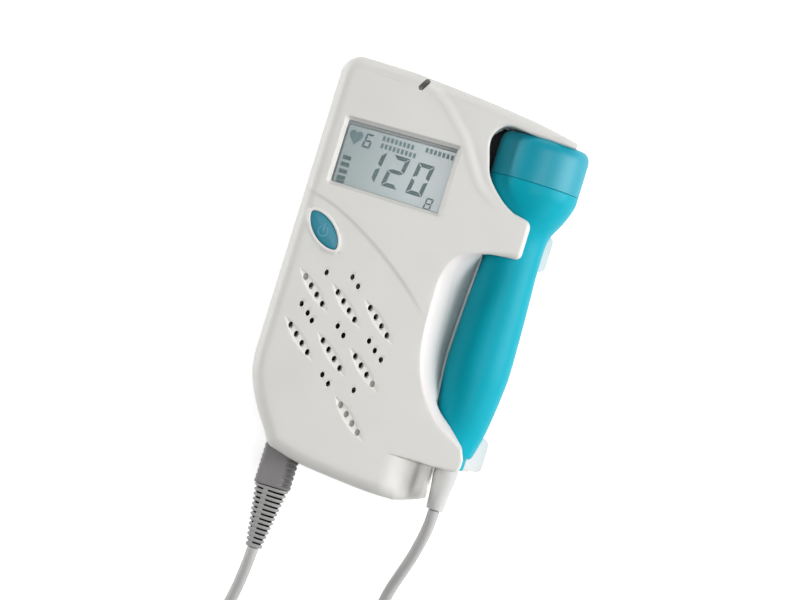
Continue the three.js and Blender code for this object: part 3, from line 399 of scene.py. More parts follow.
def even(points, step):
    """The same line with its points about one step apart."""
    p = np.array(points, float)
    run = np.concatenate([[0], np.cumsum(np.linalg.norm(np.diff(p, axis=0), axis=1))])
    at = np.linspace(0, run[-1], max(2, round(run[-1] / step)) + 1)
    return np.column_stack([np.interp(at, run, p[:, k]) for k in range(p.shape[1])])


def arc(x, y, radius, start, stop, steps=14):
    return [(x + radius * math.cos(a), y + radius * math.sin(a)) for a in np.linspace(start, stop, steps + 1)]


foot_corner = [(-0.68, -0.925), (-0.725, -0.9), (-0.765, -0.855), (-0.84, -0.785), (-0.925, -0.69),
               (-0.98, -0.598), (-1, -0.5)]
foot_edge = [(1.2, -0.74), (0.55, -0.945), (0.35, -0.995), (0.27, -1), (0.04, -0.996), (-0.41, -0.967),
             (-0.68, -0.925)]
top_edge = [(-0.47, 1), (-0.096, 0.984), (0.283, 0.961), (0.664, 0.928), (1.2, 0.85)]
corner_radius = 7
silhouette = np.vstack([
    case_line(foot_corner)[::-1],
    case_line(foot_edge)[::-1][1:],
    case_line(top_edge)[::-1],
    arc(-half_wide + corner_radius, half_long - corner_radius, corner_radius, math.pi / 2, math.pi),
    even([(-half_wide, half_long - corner_radius - 0.7), (-half_wide, -0.5 * half_long + 0.7)], 1.0)])
print("silhouette:", len(silhouette), "points")

# %% [markdown]
# ## The bay's lines
# The bay is bounded by a pocket round the probe's head and by the scallop, and beside the scallop runs the
# flank line, where the face starts to fall. Where the fingers end, their corners are worn round. A bevel
# modifier would round them all alike, so each corner is drawn with a radius of its own.

# %% Lines of the bay
pocket_line = bay_line([(0.831, 0.998), (0.66, 1.0025), (0.5171, 1.0062), (0.412, 0.9985), (0.3395, 0.9719),
                        (0.3239, 0.9429), (0.3651, 0.8987), (0.4361, 0.8461), (0.608, 0.7959),
                        (0.7728, 0.7675), (0.9234, 0.7554)])
scallop_line = bay_line([(0.8523, 0.638), (0.6321, 0.6295), (0.4759, 0.6059), (0.3992, 0.5473),
                         (0.4162, 0.4577), (0.429, 0.3489), (0.4659, 0.2521), (0.5427, 0.1988),
                         (0.6577, 0.1523), (0.8253, 0.1141), (0.9944, 0.0706)])
flank_line = bay_line([(0.8523, 0.6386), (0.625, 0.6332), (0.348, 0.5999), (0.2344, 0.5364),
                       (0.223, 0.4577), (0.2415, 0.3549), (0.2983, 0.2702), (0.4262, 0.1904),
                       (0.6137, 0.1256), (0.7756, 0.0936), (0.9944, 0.0615)])
finger_top, finger_foot = 33.6, 20.0
low_reach, low_foot, low_tip = 33.5, -56.0, -51.0
hood_end, pocket_top, foot_side, past_end = 39.3, 61.95, 25.0, 77


def soft_corner(before, at, after, radius=2.2, most=(0.5, 0.5), steps=8):
    """A corner worn round, which takes no more than a share of each side."""
    before, at, after = (np.array(p, float) for p in (before, at, after))
    a, b = before - at, after - at
    la, lb = np.linalg.norm(a), np.linalg.norm(b)
    half = math.acos(float(a @ b) / (la * lb)) / 2
    reach = min(radius / math.tan(half), la * most[0], lb * most[1])
    start, end = at + a / la * reach, at + b / lb * reach
    return [(1 - t) ** 2 * start + 2 * t * (1 - t) * at + t * t * end for t in np.linspace(0, 1, steps + 1)]


plan = np.vstack([
    [(-past_edge, past_end), (-past_edge, -past_end), (foot_side, -past_end), (foot_side, low_foot)],
    soft_corner((foot_side, low_foot), (low_reach, low_foot), (low_reach, low_tip), 3.3, (0.5, 0.66)),
    soft_corner((low_reach, low_foot), (low_reach, low_tip), scallop_line[-1], 1.6, (0.32, 0.5)),
    scallop_line[::-1],
    soft_corner(scallop_line[0], (finger_reach, finger_foot), (finger_reach, finger_top), 3.4),
    soft_corner((finger_reach, finger_foot), (finger_reach, finger_top), pocket_line[-9], 3.4),
    pocket_line[::-1][9:],
    [(hood_end, pocket_top), (hood_end, past_end)]])
print("plan:", len(plan), "points, scallop", round(line_length(scallop_line)), "mm long")

# %% [markdown]
# ## Distance to a line
# The height of the face at any point follows from how far that point is from the lines above. Blender can
# find the nearest point of a mesh, but these lines have no mesh yet. So the distance to a line is worked
# out here, for a few thousand points at once, because one by one it would take minutes.

# %% Distance to a line
def away(spots, line, closed=True):
    """Distance of every spot to the nearest point of the line, and how far along the line that is."""
    spots = np.asarray(spots, float)
    a = np.asarray(line, float)
    b = np.roll(a, -1, axis=0) if closed else a[1:]
    a = a if closed else a[:-1]
    run = b - a
    size = np.maximum((run ** 2).sum(axis=1), 1e-12)
    best = np.full(len(spots), 1e9)
    where = np.zeros(len(spots))
    for start in range(0, len(spots), 4000):
        p = spots[start:start + 4000, None, :]
        t = np.clip(((p - a) * run).sum(axis=2) / size, 0, 1)
        gap = np.linalg.norm(p - (a + t[..., None] * run), axis=2)
        near = gap.argmin(axis=1)
        rows = np.arange(len(gap))
        best[start:start + 4000] = gap[rows, near]
        where[start:start + 4000] = (near + t[rows, near]) / len(a)
    return best, where


middle_gap = away([(0, 0)], silhouette)[0][0]
print("from the middle to the case's edge:", round(float(middle_gap), 1), "mm")

# %% [markdown]
# ## Inside a line, or beside it
# Which opening or finish a point belongs to is told by the line that it lies inside, and a worn edge is the
# same line drawn again a little further out or in. A line could be scaled about its middle for that, but a
# long shape would then grow more at its ends than at its sides. So each point is moved square to the line.

# %% Insides and offsets
def inside(spots, line):
    """Which spots a closed line goes round, found by counting how often it crosses their right side."""
    spots = np.asarray(spots, float)
    a = np.asarray(line, float)
    b = np.roll(a, -1, axis=0)
    odd = np.zeros(len(spots), bool)
    for (x0, y0), (x1, y1) in zip(a, b):
        if y0 == y1:
            continue
        crosses = (y0 > spots[:, 1]) != (y1 > spots[:, 1])
        at = x0 + (spots[:, 1] - y0) * (x1 - x0) / (y1 - y0)
        odd ^= crosses & (spots[:, 0] < at)
    return odd


def grown(line, distance):
    """The closed line moved outwards; it runs anticlockwise."""
    p = np.asarray(line, float)
    ahead = np.roll(p, -1, axis=0) - p
    behind = p - np.roll(p, 1, axis=0)
    ahead /= np.maximum(np.linalg.norm(ahead, axis=1), 1e-9)[:, None]
    behind /= np.maximum(np.linalg.norm(behind, axis=1), 1e-9)[:, None]
    a = np.column_stack([behind[:, 1], -behind[:, 0]])
    b = np.column_stack([ahead[:, 1], -ahead[:, 0]])
    return p + (a + b) * (distance / np.maximum(1 + (a * b).sum(axis=1), 0.5))[:, None]


def close_to(spots, line, reach=30):
    """Which spots are near enough to a small outline to be worth measuring from it."""
    return np.abs(np.asarray(spots) - line.mean(axis=0)).max(axis=1) < reach


print("points of the plan inside the case:", int(inside(plan, silhouette).sum()))

# %% [markdown]
# ## Openings in the face
# The face has a window for the display, whose upper edge falls a little to the left, a pointed oval for
# the power button inside a raised ring, a slot for the indicator, seven leaf-shaped dishes with four sound
# holes each, and fourteen loose holes. A few of the holes are only dimples: beyond the loudspeaker there
# is nothing behind them. Booleans could cut them all. As closed lines they can also be measured from, so
# that a ring or a dish follows its opening exactly.

# %% Shapes of the openings
window_slope = 1.2
button_x, button_y, button_angle = -35.1, 10.3, -0.745
button_long, button_wide, button_point = 7.5, 3.35, 1.3


def turned(points, angle, x, y):
    """Points turned about the origin and then moved to a place of the face."""
    c, s = math.cos(angle), math.sin(angle)
    return np.array([(x + u * c - v * s, y + u * s + v * c) for u, v in points])


def button_oval(grow, steps=72):
    """The button's pointed oval, or one that lies outside it by the given distance."""
    points = []
    for k in range(steps):
        angle = 2 * math.pi * k / steps
        rise = math.sin(angle)
        points.append(((button_long + grow) * math.cos(angle),
                       (button_wide + grow) * math.copysign(abs(rise) ** button_point, rise)))
    return turned(points, button_angle, button_x, button_y)


def leaf(inset=0, half_length=9.3, half_width=1.95, steps=24):
    """A pointed oval of two arcs, or one that lies inside it by the inset."""
    radius = (half_length ** 2 + half_width ** 2) / (2 * half_width) - inset
    half_width -= inset
    half_length = math.sqrt(2 * radius * half_width - half_width ** 2)
    swing = math.asin(half_length / radius)
    upper = arc(0, half_width - radius, radius, math.pi / 2 - swing, math.pi / 2 + swing, steps)
    lower = arc(0, radius - half_width, radius, 1.5 * math.pi - swing, 1.5 * math.pi + swing, steps)
    return upper + lower[1:-1]


def sloped(points, wide):
    """The upper edge of the window falls a little towards its left end."""
    return [(u, v - window_slope * (0.5 - u / wide) * (v > 0)) for u, v in points]


print("widest leaf:", round(2 * max(v for _, v in leaf()), 2), "mm")

# %% Places of the openings
window_x, window_y, window_wide, window_high, window_corner = -18.8, 38.7, 40.6, 25.2, 1.2
slot_x, slot_y, slot_angle = -16.9, 67.9, 1.05
leaf_angle, hole_step = -0.731, 3.67
pattern_x, pattern_y, pattern_wide, pattern_high = -36.4, -6.7, 33, 38
column_step, column_drop, row_step = 12.15, 1.9, 17.3
window_line = np.array([(window_x + u, window_y + v) for u, v in sloped(
    rounded_box(window_wide, window_high, window_corner), window_wide)])
button_line = button_oval(0.16)
slot_line = turned(rounded_box(4.9, 1.9, 0.9), slot_angle, slot_x, slot_y)
leaf_starts = [(pattern_x + column_step * c, pattern_y - column_drop * c - row_step * r)
               for c, r in ((0, 0), (1, 0), (2, 0), (0, 1), (1, 1), (2, 1), (2, 2))]
along = np.array([math.cos(leaf_angle), math.sin(leaf_angle)])


def leaf_at(start, inset=0):
    return turned(leaf(inset), leaf_angle, *(np.array(start) + along * hole_step * 1.5))


leaf_lines = [leaf_at(p) for p in leaf_starts]
leaf_holes = [np.array(p) + along * hole_step * i for p in leaf_starts for i in range(4)]
loose_holes = [np.array((pattern_x + pattern_wide * x, pattern_y + pattern_high * y)) for x, y in (
    (0.194, 0.089), (0.464, 0.118), (0.548, 0.053), (0.042, -0.245), (0.13, -0.308), (0.194, -0.363),
    (0.467, -0.342), (0.552, -0.408), (0.824, -0.387), (0.909, -0.455), (0.997, -0.518), (0.464, -0.8),
    (0.548, -0.863), (0.821, -0.85))]
dimples = {0, 23, 24, 25, 26, 27}
print("sound holes:", len(leaf_holes) + len(loose_holes), "of which dimples:", len(dimples))

# %% [markdown]
# ## The lip beside the probe
# Between the fingers the flank doesn't end at the scallop. It runs on down beside the probe's handle, so
# that no gap shows there. A lip of one width would be simpler, but it would cut into the handle or leave a
# slit. So the handle's outline comes first, the same that the probe is turned from further on, and the
# lip takes what is left between the outline and the scallop.

# %% Where the bay's edge runs past the probe
head_radius = 15.9
lip_gap, lip_middle, lip_half_long = 0.6, -8, 34
probe_shape = [(0.037, 0.43), (0.064, 0.484), (0.108, 0.56), (0.167, 0.623), (0.24, 0.679),
               (0.317, 0.711), (0.47, 0.676), (0.606, 0.629), (0.691, 0.623), (0.729, 0.66),
               (0.753, 0.736), (0.788, 0.868), (0.834, 0.985), (0.867, 1)]
handle_line = spline([(probe_foot + y * probe_length, r * head_radius) for y, r in probe_shape], 90)


def probe_radius(y):
    return np.interp(y, handle_line[:, 0], handle_line[:, 1])


def lip_width(x, y):
    """How far the flank runs on past x before it turns down beside the probe; 0 under the fingers."""
    between_fingers = np.abs(np.asarray(y) - lip_middle) < lip_half_long
    return np.maximum(probe_x - probe_radius(y) - lip_gap - np.asarray(x), 0) * between_fingers


print("lip beside the probe:", round(float(lip_width(*scallop_line.T).max()), 1), "mm at most")

# %% [markdown]
# ## Creases of the face
# A long crease sweeps from the top edge round the probe's head, and the hood beyond it lies a little lower.
# A shallower step crosses the middle of the face, and a third crease, hardly seen, bends in from the top
# edge. They could be sculpted with a brush. As smooth lines, with a rule for how the face falls beside
# them, they stay even along their whole length.

# %% Creases
hood_crease = spline([(-19, 75), (-15.4, 69.5), (-7.9, 65), (-2, 59.5), (3, 54.3), (7.1, 47.8),
                      (12.2, 40.9), (19.2, 36.7), (25, 34.3)], 60)
middle_step = spline([(-47, 22.2), (-42.9, 21.6), (-36.6, 20.2), (-29.6, 17.4), (-19, 11.6),
                      (-10.1, 5.7), (-1.2, -1.2), (7.8, -9.8)], 60)
top_crease = spline([(-19.5, 72), (-21.6, 68.8), (-25, 66.2), (-28.9, 64), (-33, 62)], 30)


def rounded_off(gap, radius):
    """How far a rounded edge has fallen at this distance from it."""
    t = np.clip(1 - gap / radius, 0, 1)
    return radius * (1 - np.sqrt(np.maximum(0, 1 - t * t)))


def ramp(value, start, end):
    """A soft step from 0 at the start to 1 at the end."""
    t = np.clip((value - start) / (end - start), 0, 1)
    return t * t * (3 - 2 * t)


def side_of(spots, line):
    """Distance to an open line, positive on its left, and how far along it the nearest point is."""
    gap, where = away(spots, line, closed=False)
    k = np.clip((where * (len(line) - 1)).astype(int), 0, len(line) - 2)
    a, b = line[k], line[k + 1]
    run, off = b - a, np.asarray(spots) - a
    return np.where(run[:, 0] * off[:, 1] - run[:, 1] * off[:, 0] > 0, gap, -gap), where


print("creases:", [round(line_length(line)) for line in (hood_crease, middle_step, top_crease)], "mm long")

# %% [markdown]
# ## The flank
# Beside the probe the face falls away into the bay, gently at the flank line and ever more steeply towards
# the scallop, where the edge is rolled over. A bevel has the same width everywhere. The flank is wide in
# its middle and runs out under the fingers, so its depth is made to follow its width.

# %% Fall of the flank
flank_deepest, flank_steepness = 12, 1.7
band = np.vstack([flank_line, scallop_line[::-1]])


def flank_drop(spots):
    near_flank, near_scallop = away(spots, flank_line, False)[0], away(spots, scallop_line, False)[0]
    across = near_flank + near_scallop
    share = near_flank / np.maximum(across, 1e-9)
    on_flank = inside(spots, band) | (near_scallop < 1e-4)
    free = 1.2 * ramp(-lip_width(spots[:, 0], spots[:, 1]), -1.0, -0.1)
    roll = rounded_off(near_scallop, np.minimum(free, 0.5 * across) + 1e-6)
    deep = np.minimum(flank_deepest, flank_steepness * across)
    return np.where(on_flank, deep * (0.42 * share + 0.58 * share ** 2.2) + roll, 0)


print("deepest at the scallop:", round(float(flank_drop(scallop_line).max()), 1), "mm")

# %% [markdown]
# ## The height of the face
# The face is almost flat, 33 mm up. Its outer edge is well rounded and the rim of the bay slightly. The
# leaves are shallow dishes, the window's edge is worn down a little, the button's ring is raised, and
# under the low finger the foot is scooped out. A displacement picture could carry all this, but only as
# finely as its pixels. So each form is one term in a sum that gives the height at a point.

# %% Height of the face
edge_round, rim_round, finger_round = 4.5, 1.1, 0.9
hood_sink, hood_swell, step_sink, top_sink = 0.75, 0.18, 0.4, 0.2
leaf_sink, window_sink, window_worn = 0.38, 0.3, 0.45
ring_rise, ring_wide = 0.4, 1.1
scoop_deep, scoop_rise, scoop_start, scoop_edge = 4.0, 3.0, 55.8, 56.4


def face_height(spots):
    spots = np.asarray(spots, float)
    x, y = spots[:, 0], spots[:, 1]
    soft = rim_round + finger_round * ramp(x, 20, 29) * (y > -40)
    edge = away(spots, silhouette)[0]
    drop = np.maximum(rounded_off(edge, edge_round), rounded_off(away(spots, plan)[0], soft))
    z = face_z - np.maximum(drop, flank_drop(spots))

    gap, where = side_of(spots, hood_crease)
    z -= hood_sink * ramp(gap, -1.2, 1.6) * ramp(where, 1.0, 0.8)
    z += hood_swell * np.exp(-((gap + 1.6) / 1.1) ** 2) * ramp(where, 1.0, 0.8)
    gap, where = side_of(spots, middle_step)
    z -= step_sink * ramp(-gap, -0.7, 0.7) * ramp(where, 1.0, 0.8) * ramp(where, 0, 0.12)
    gap, where = side_of(spots, top_crease)
    fading = np.exp(-(gap / 8) ** 2) * ramp(where, 1.0, 0.45) * ramp(edge, 2, 6)
    z -= top_sink * ramp(-gap, -2.5, 2.5) * fading

    for line in leaf_lines:
        close = close_to(spots, line, 10)
        inner = np.zeros(len(spots), bool)
        inner[close] = inside(spots[close], line)
        z[inner] -= leaf_sink * ramp(away(spots[inner], line)[0], -0.05, 0.75)
    z -= window_sink * np.clip(1 - away(spots, window_line)[0] / window_worn, 0, 1) ** 2
    across_ring = np.clip(away(spots, button_line)[0] / ring_wide, 0, 1)
    z += ring_rise * np.sqrt(np.maximum(0, 1 - (2 * across_ring - 1) ** 2))

    scoop = (scoop_deep * ramp(x, 7.5, 19.0) - scoop_rise * ramp(x, 18.2, 23.4)) * ramp(y, -78, -62)
    z -= scoop * ramp(-y, scoop_start, scoop_edge)
    return z


print("face height at the middle:", round(float(face_height([(0, 0)])[0]), 2))

# %% [markdown]
# ## The probe's room
# The fingers reach over the probe, and their undersides are hollowed to let it pass as it slides out to
# the right. A boolean with the probe's mesh would leave a hollow of its exact size, with no room to move.
# So the room is the probe's own turned shape with 0.4 mm to spare, drawn out sideways.

# %% The probe's room
room_gap, room_top = 0.4, 62.8
corner_long, corner_deep = 4.2, 2.5
collar_top, collar_radius = -50.9, 5.5
boot_shoulder, boot_radius = -55.7, 4.2


def room_radius(y):
    """The radius of the boot, the collar, the handle or the head at y, with the gap added."""
    y = np.asarray(y, float)
    r = np.where(y < collar_top, collar_radius, probe_radius(y))
    r = np.where(y < boot_shoulder, boot_radius, r)
    corner = np.clip((y - room_gap - probe_foot - probe_length + corner_long) / corner_long, 0, 1)
    r = r - corner_deep * (1 - np.sqrt(1 - corner ** 2))
    return np.where(y > room_top, 0.01, r + room_gap)


def room_height(spots):
    """The underside over the probe, or nan where there is no probe underneath."""
    x, y = np.asarray(spots, float).T
    r = room_radius(y)
    aside = np.maximum(probe_x - x, 0)
    covered = (aside < r - 1e-6) & (y < room_top)
    return np.where(covered, probe_z + np.sqrt(np.maximum(0, r * r - aside * aside)), np.nan)


room_line = np.array([(probe_x - room_radius(y) + 2e-3, y) for y in np.arange(-56, 48, 0.8)])
neck_y = 27
print("room over the neck:", round(float(room_height([(probe_x, neck_y)])[0]), 2), "mm up")

# %% [markdown]
# ## The front shell
# A face with this many openings could be cut from a block with booleans, but the rounded rim would then
# be hard to keep even. Here the plan is triangulated instead: every line that the eye should see goes
# into a Delaunay triangulation as a fixed edge, loose points fill the rest, and each point is lifted to
# the height of the face. The lines come first. Where the height changes fast, several run side by side.

# %% Points and edges of the plan
spots, ties = [], []


def add_line(line, closed=True):
    first = len(spots)
    spots.extend(tuple(map(float, p)) for p in line)
    last = len(spots) - 1
    ties.extend((k, k + 1) for k in range(first, last))
    if closed:
        ties.append((last, first))


for step in range(9):
    add_line(grown(silhouette, -edge_round * (1 - math.cos(step * math.pi / 16))))
for step in range(8):
    add_line(grown(plan, -(rim_round + finger_round) * (1 - math.cos(step * math.pi / 14))))
for share in (0, 0.03, 0.08, 0.16, 0.28, 0.4, 0.5, 0.58, 0.66, 0.74, 0.82):
    add_line(flank_line + (scallop_line - flank_line) * share, closed=False)
for y in (55.75, 55.85, 55.95, 56.05, 56.15, 56.25, 56.35, 56.45):
    add_line([(x, -y) for x in np.arange(7, 24.4, 0.6)], closed=False)
for grow in (0, 0.12, 0.25, 0.45):
    add_line(grown(window_line, grow))
for grow in (0.16, 0.2, 0.3, 0.48, 0.71, 0.94, 1.12, 1.22, 1.26):
    add_line(button_oval(grow))
for start in leaf_starts:
    for inset in (0, 0.12, 0.26, 0.42, 0.6):
        add_line(leaf_at(start, inset))
add_line(slot_line)
add_line(room_line, closed=False)
hole_wide, hole_high = 1.5, 2.05
hole_ring = np.array([(math.cos(a) * hole_wide / 2, math.sin(a) * hole_high / 2)
                      for a in np.arange(20) * 2 * math.pi / 20])
hole_lines = [at + hole_ring * 1.12 for at in leaf_holes] + [at + hole_ring for at in loose_holes]
for at in hole_lines:
    add_line(at)
    add_line((at - at.mean(axis=0)) * 1.14 + at.mean(axis=0))
print("fixed points:", len(spots), "edges:", len(ties))

# %% [markdown]
# ## Loose points
# Between the lines the face needs points of its own, or its triangles become long slivers that shade
# badly. Subdividing would add them everywhere alike. A coarse lattice with a fine one beside the creases,
# in the leaves and in the scoop puts them where the face bends, and none may crowd a line.

# %% Loose points between the lines
openings = [window_line, button_line, slot_line] + hole_lines
fixed = np.array(spots)


def lattice(step):
    rows = []
    for i, y in enumerate(np.arange(-72, 72, step * 0.866)):
        rows += [(x + (i % 2) * step / 2, y) for x in np.arange(-46, 46, step)]
    return np.array(rows)


def keep_clear(points, gap):
    """Leaves out the points that crowd a fixed one, by sorting both into small squares."""
    taken = {}
    for x, y in fixed:
        taken.setdefault((int(x // gap), int(y // gap)), []).append((x, y))
    clear = []
    for x, y in points:
        i, j = int(x // gap), int(y // gap)
        near = [p for di in (-1, 0, 1) for dj in (-1, 0, 1) for p in taken.get((i + di, j + dj), ())]
        if all((x - u) ** 2 + (y - v) ** 2 > gap * gap for u, v in near):
            clear.append((x, y))
    return clear


wide_points, fine_points = lattice(1.25), lattice(0.5)
near_crease = np.minimum(away(fine_points, hood_crease, False)[0], away(fine_points, middle_step, False)[0])
near_crease = np.minimum(near_crease, away(fine_points, top_crease, False)[0])
in_leaf = np.zeros(len(fine_points), bool)
for line in leaf_lines:
    in_leaf |= inside(fine_points, grown(line, 0.5))
scooped = (fine_points[:, 0] > 9) & (fine_points[:, 1] < -55)
fine_points = fine_points[(near_crease < 3.2) | in_leaf | scooped]
spots += keep_clear(fine_points, 0.3)
fixed = np.array(spots)
spots += keep_clear(wide_points, 0.7)
print("all points:", len(spots))

# %% [markdown]
# ## The face
# The triangulation fills the whole plan, so triangles that lie outside the case or in an opening are
# dropped afterwards. They are found by their middles, which is safer than by their corners, because the
# corners lie on the very lines. The edges of the sound holes are sunk a little, as worn edges are.

# %% Triangles of the face
flat, _, corners, *_ = delaunay_2d_cdt([Vector(p) for p in spots], ties, [], 0, 1e-5, False)
flat = np.array([tuple(p) for p in flat])
corners = np.array([tuple(f) for f in corners if len(f) == 3])
middles = flat[corners].mean(axis=1)
keep = inside(middles, silhouette) & inside(middles, plan)
for line in openings:
    near = close_to(middles, line)
    cut = np.zeros(len(middles), bool)
    cut[near] = inside(middles[near], line)
    keep &= ~cut
corners = corners[keep]
a, b, c = (flat[corners[:, k]] for k in range(3))
area = (b[:, 0] - a[:, 0]) * (c[:, 1] - a[:, 1]) - (b[:, 1] - a[:, 1]) * (c[:, 0] - a[:, 0])
corners[area < 0] = corners[area < 0][:, ::-1]
used, corners = np.unique(corners, return_inverse=True)
corners = corners.reshape(-1, 3)
flat = flat[used]
lift = face_height(flat)
for line in hole_lines:
    near = close_to(flat, line, 2)
    edge = np.zeros(len(flat), bool)
    edge[near] = away(flat[near], line)[0] < 0.01
    lift[edge] -= 0.1
print("face:", len(flat), "points,", len(corners), "triangles, from", round(float(lift.min()), 2), "to",
      round(float(lift.max()), 2), "mm")

# %% [markdown]
# ## Walls
# The case's walls are about 2 mm thick, and the outer ones go down to the parting line. A solidify modifier
# would thicken the face everywhere, also where the probe needs its room. So walls are hung from the face's
# open edges instead, which have a face on one side only. Those of the openings are set apart here, because
# they get skirts of their own.

# %% Open edges of the face
shell_points = [(x, y, z) for (x, y), z in zip(flat, lift)]
shell_faces = [tuple(f) for f in corners]
seen_edges = {}
for f in shell_faces:
    for k in range(3):
        seen_edges[(f[k], f[(k + 1) % 3])] = f
rim = [edge for edge in seen_edges if (edge[1], edge[0]) not in seen_edges]
on_opening = np.zeros(len(flat), bool)
for line in openings:
    near = close_to(flat, line)
    gap = np.full(len(flat), 9.0)
    gap[near] = away(flat[near], line)[0]
    on_opening |= gap < 1e-3
print("open edges:", len(rim), "points on openings:", int(on_opening.sum()))

# %% [markdown]
# ## How low the walls go
# Most walls end at the parting line, those over the probe at its room, and those over the plug at the roof
# of its recess. Their edges could be dragged there by eye. A rule gives the height for every point, and it
# uses the room that also shapes the fingers' undersides, so that walls and undersides meet.

# %% How low the walls go
parting, wall_soft = 15.15, 0.3
plug_x, plug_z = -26.7, 15.5
recess_wide, recess_high, recess_corner = 13.7, 10.3, 1.6


def wall_foot(spots):
    """How low the wall goes: to the parting line, the probe's room or the plug's recess."""
    foot = np.full(len(spots), parting)
    under = room_height(spots)
    foot = np.where(np.isnan(under), foot, np.maximum(foot, under))
    aside = np.abs(spots[:, 0] - plug_x)
    bend = np.clip(aside - (recess_wide / 2 - recess_corner), 0, recess_corner)
    roof = plug_z + recess_high / 2 - recess_corner + np.sqrt(np.maximum(0, recess_corner ** 2 - bend ** 2))
    return np.where((aside < recess_wide / 2) & (spots[:, 1] < -55), roof, foot)


foot = np.minimum(wall_foot(flat), lift - wall_soft)
print("walls end between", round(float(foot.min()), 2), "and", round(float(foot.max()), 2), "mm up")

# %% [markdown]
# ## Hanging the walls
# Each point of an open edge gets three more below it, for the wall, a small radius at its foot, and the
# wall's thickness. Extruding the edge three times would do the same for a straight wall. Here each point
# ends at a height of its own, and is drawn inwards along the mean direction of its two neighbours' walls.

# %% Walls under the open edges
wall_thick = 1.9
wall = {}


def down(k):
    """Index of the three points hung under point k."""
    if k not in wall:
        wall[k] = len(shell_points)
        x, y = flat[k]
        soft = min(wall_soft, (lift[k] - foot[k]) / 3)
        shell_points.append((x, y, foot[k] + soft))
        inward = drawn_in[k]
        shell_points.append((x + inward[0] * soft, y + inward[1] * soft, foot[k]))
        shell_points.append((x + inward[0] * wall_thick, y + inward[1] * wall_thick, foot[k]))
    return wall[k]


drawn_in = {}
for i, j in rim:
    if on_opening[i] and on_opening[j]:
        continue
    run = flat[j] - flat[i]
    inward = np.array([-run[1], run[0]]) / max(np.linalg.norm(run), 1e-9)
    for k in (i, j):
        drawn_in[k] = drawn_in.get(k, 0) + inward
for k, v in drawn_in.items():
    drawn_in[k] = v / max(np.linalg.norm(v), 1e-9)
for i, j in rim:
    if i not in drawn_in or j not in drawn_in or (on_opening[i] and on_opening[j]):
        continue
    p, q = down(i), down(j)
    shell_faces += [(i, p, q, j), (p, p + 1, q + 1, q), (p + 1, p + 2, q + 2, q + 1)]
print("wall faces:", len(shell_faces) - len(corners), "hung points:", 3 * len(wall))

# %% [markdown]
# ## Undersides of the fingers
# When the probe is out, the undersides of the hood and the fingers can be seen. A sheet of its own could
# line them, but its edges would have to be fitted to the walls. So they are the same triangles as the face
# above them, turned over and lowered to the probe's room, and both sides meet the same walls.

# %% Undersides of the fingers
under = room_height(flat)
over_probe = ~np.isnan(under)
below = {}
for f in corners:
    if not over_probe[f].all():
        continue
    for k in f:
        if k not in below:
            below[k] = len(shell_points)
            shell_points.append((*flat[k], min(under[k], lift[k] - wall_soft)))
    shell_faces.append((below[f[0]], below[f[2]], below[f[1]]))
print("underside:", len(below), "points")

# %% [markdown]
# ## The lip
# The lip carries on from the flank down beside the probe and ends low in the bay, hidden by the handle.
# The face's own triangles would be stretched if they were pulled down so far, because a plan can't hold a
# surface that is nearly upright. So the lip is a strip of faces of its own, in rows across its width.

# %% Lip beside the probe
lip_rows, lip_foot, lip_steepness = 9, 2.2, 3.2
start = len(shell_points)
lip_spots = scallop_line[lip_width(*scallop_line.T) > 0.02]
for (x, y), z in zip(lip_spots, face_height(lip_spots)):
    wide = float(lip_width(x, y))
    fall = min(flank_deepest, lip_steepness * wide)
    for k in range(lip_rows):
        t = k / (lip_rows - 1)
        shell_points.append((x + wide * t, y, z - fall * (0.6 * t + 0.4 * t ** 2)))
    shell_points.append((x + wide, y, lip_foot))
for i in range(len(lip_spots) - 1):
    for k in range(lip_rows):
        a, b = start + i * (lip_rows + 1) + k, start + (i + 1) * (lip_rows + 1) + k
        shell_faces.append((a, b, b + 1, a + 1))
lip_faces = (len(shell_faces) - (len(lip_spots) - 1) * lip_rows, len(shell_faces))
print("lip:", len(lip_spots), "steps long")

# %% [markdown]
# ## Skirts of the openings
# Through a sound hole the eye sees the thickness of the wall, and the window sits in a step. Each opening
# gets a skirt: rings of points that go down from its edge and in a little. An extrusion would do for a
# plain wall, but the rings also give the window its bevelled frame, and a dimple is a short skirt with
# a floor.

# %% Skirts of the openings
def skirt(line, rows, floor=False, lean=(0, 0)):
    """Rows of faces that go down from an opening's edge, each row an inset and a height."""
    top = face_height(line)
    first = len(shell_points)
    n = len(line)
    for r, (inset, z) in enumerate(rows):
        ring = grown(line, -inset) + np.array(lean) * (r / (len(rows) - 1)) ** 2
        shell_points.extend((x, y, (top[k] + z) if z <= 0 else z) for k, (x, y) in enumerate(ring))
    for r in range(len(rows) - 1):
        for k in range(n):
            a, b = first + r * n + k, first + r * n + (k + 1) % n
            shell_faces.append((a, b, b + n, a + n))
    if floor:
        last = first + (len(rows) - 1) * n
        shell_faces.append(tuple(last + k for k in range(n)))


dimple_faces = []
skirt(window_line, [(0, 0), (0.1, -0.3), (0.55, 31.6), (1.1, 30.75)])
skirt(button_line, [(0, 0), (0, 31.0)])
skirt(slot_line, [(0, 0), (0, 27.5)])
for k, line in enumerate(hole_lines):
    if k in dimples:
        before = len(shell_faces)
        skirt(line, [(0, -0.05), (0.03, -0.5), (0.2, -0.8)], floor=True)
        dimple_faces += range(before, len(shell_faces))
    elif k < len(leaf_holes):
        skirt(line, [(0, -0.1), (0.02, -0.3), (0.1, 31.4), (0.12, 30.8)], lean=(-0.4, 0.2))
    else:
        skirt(line, [(0, -0.1), (0.02, -0.4), (0.04, 31.0)])
print("skirts:", 3 + len(hole_lines), "and dimple faces:", len(dimple_faces))
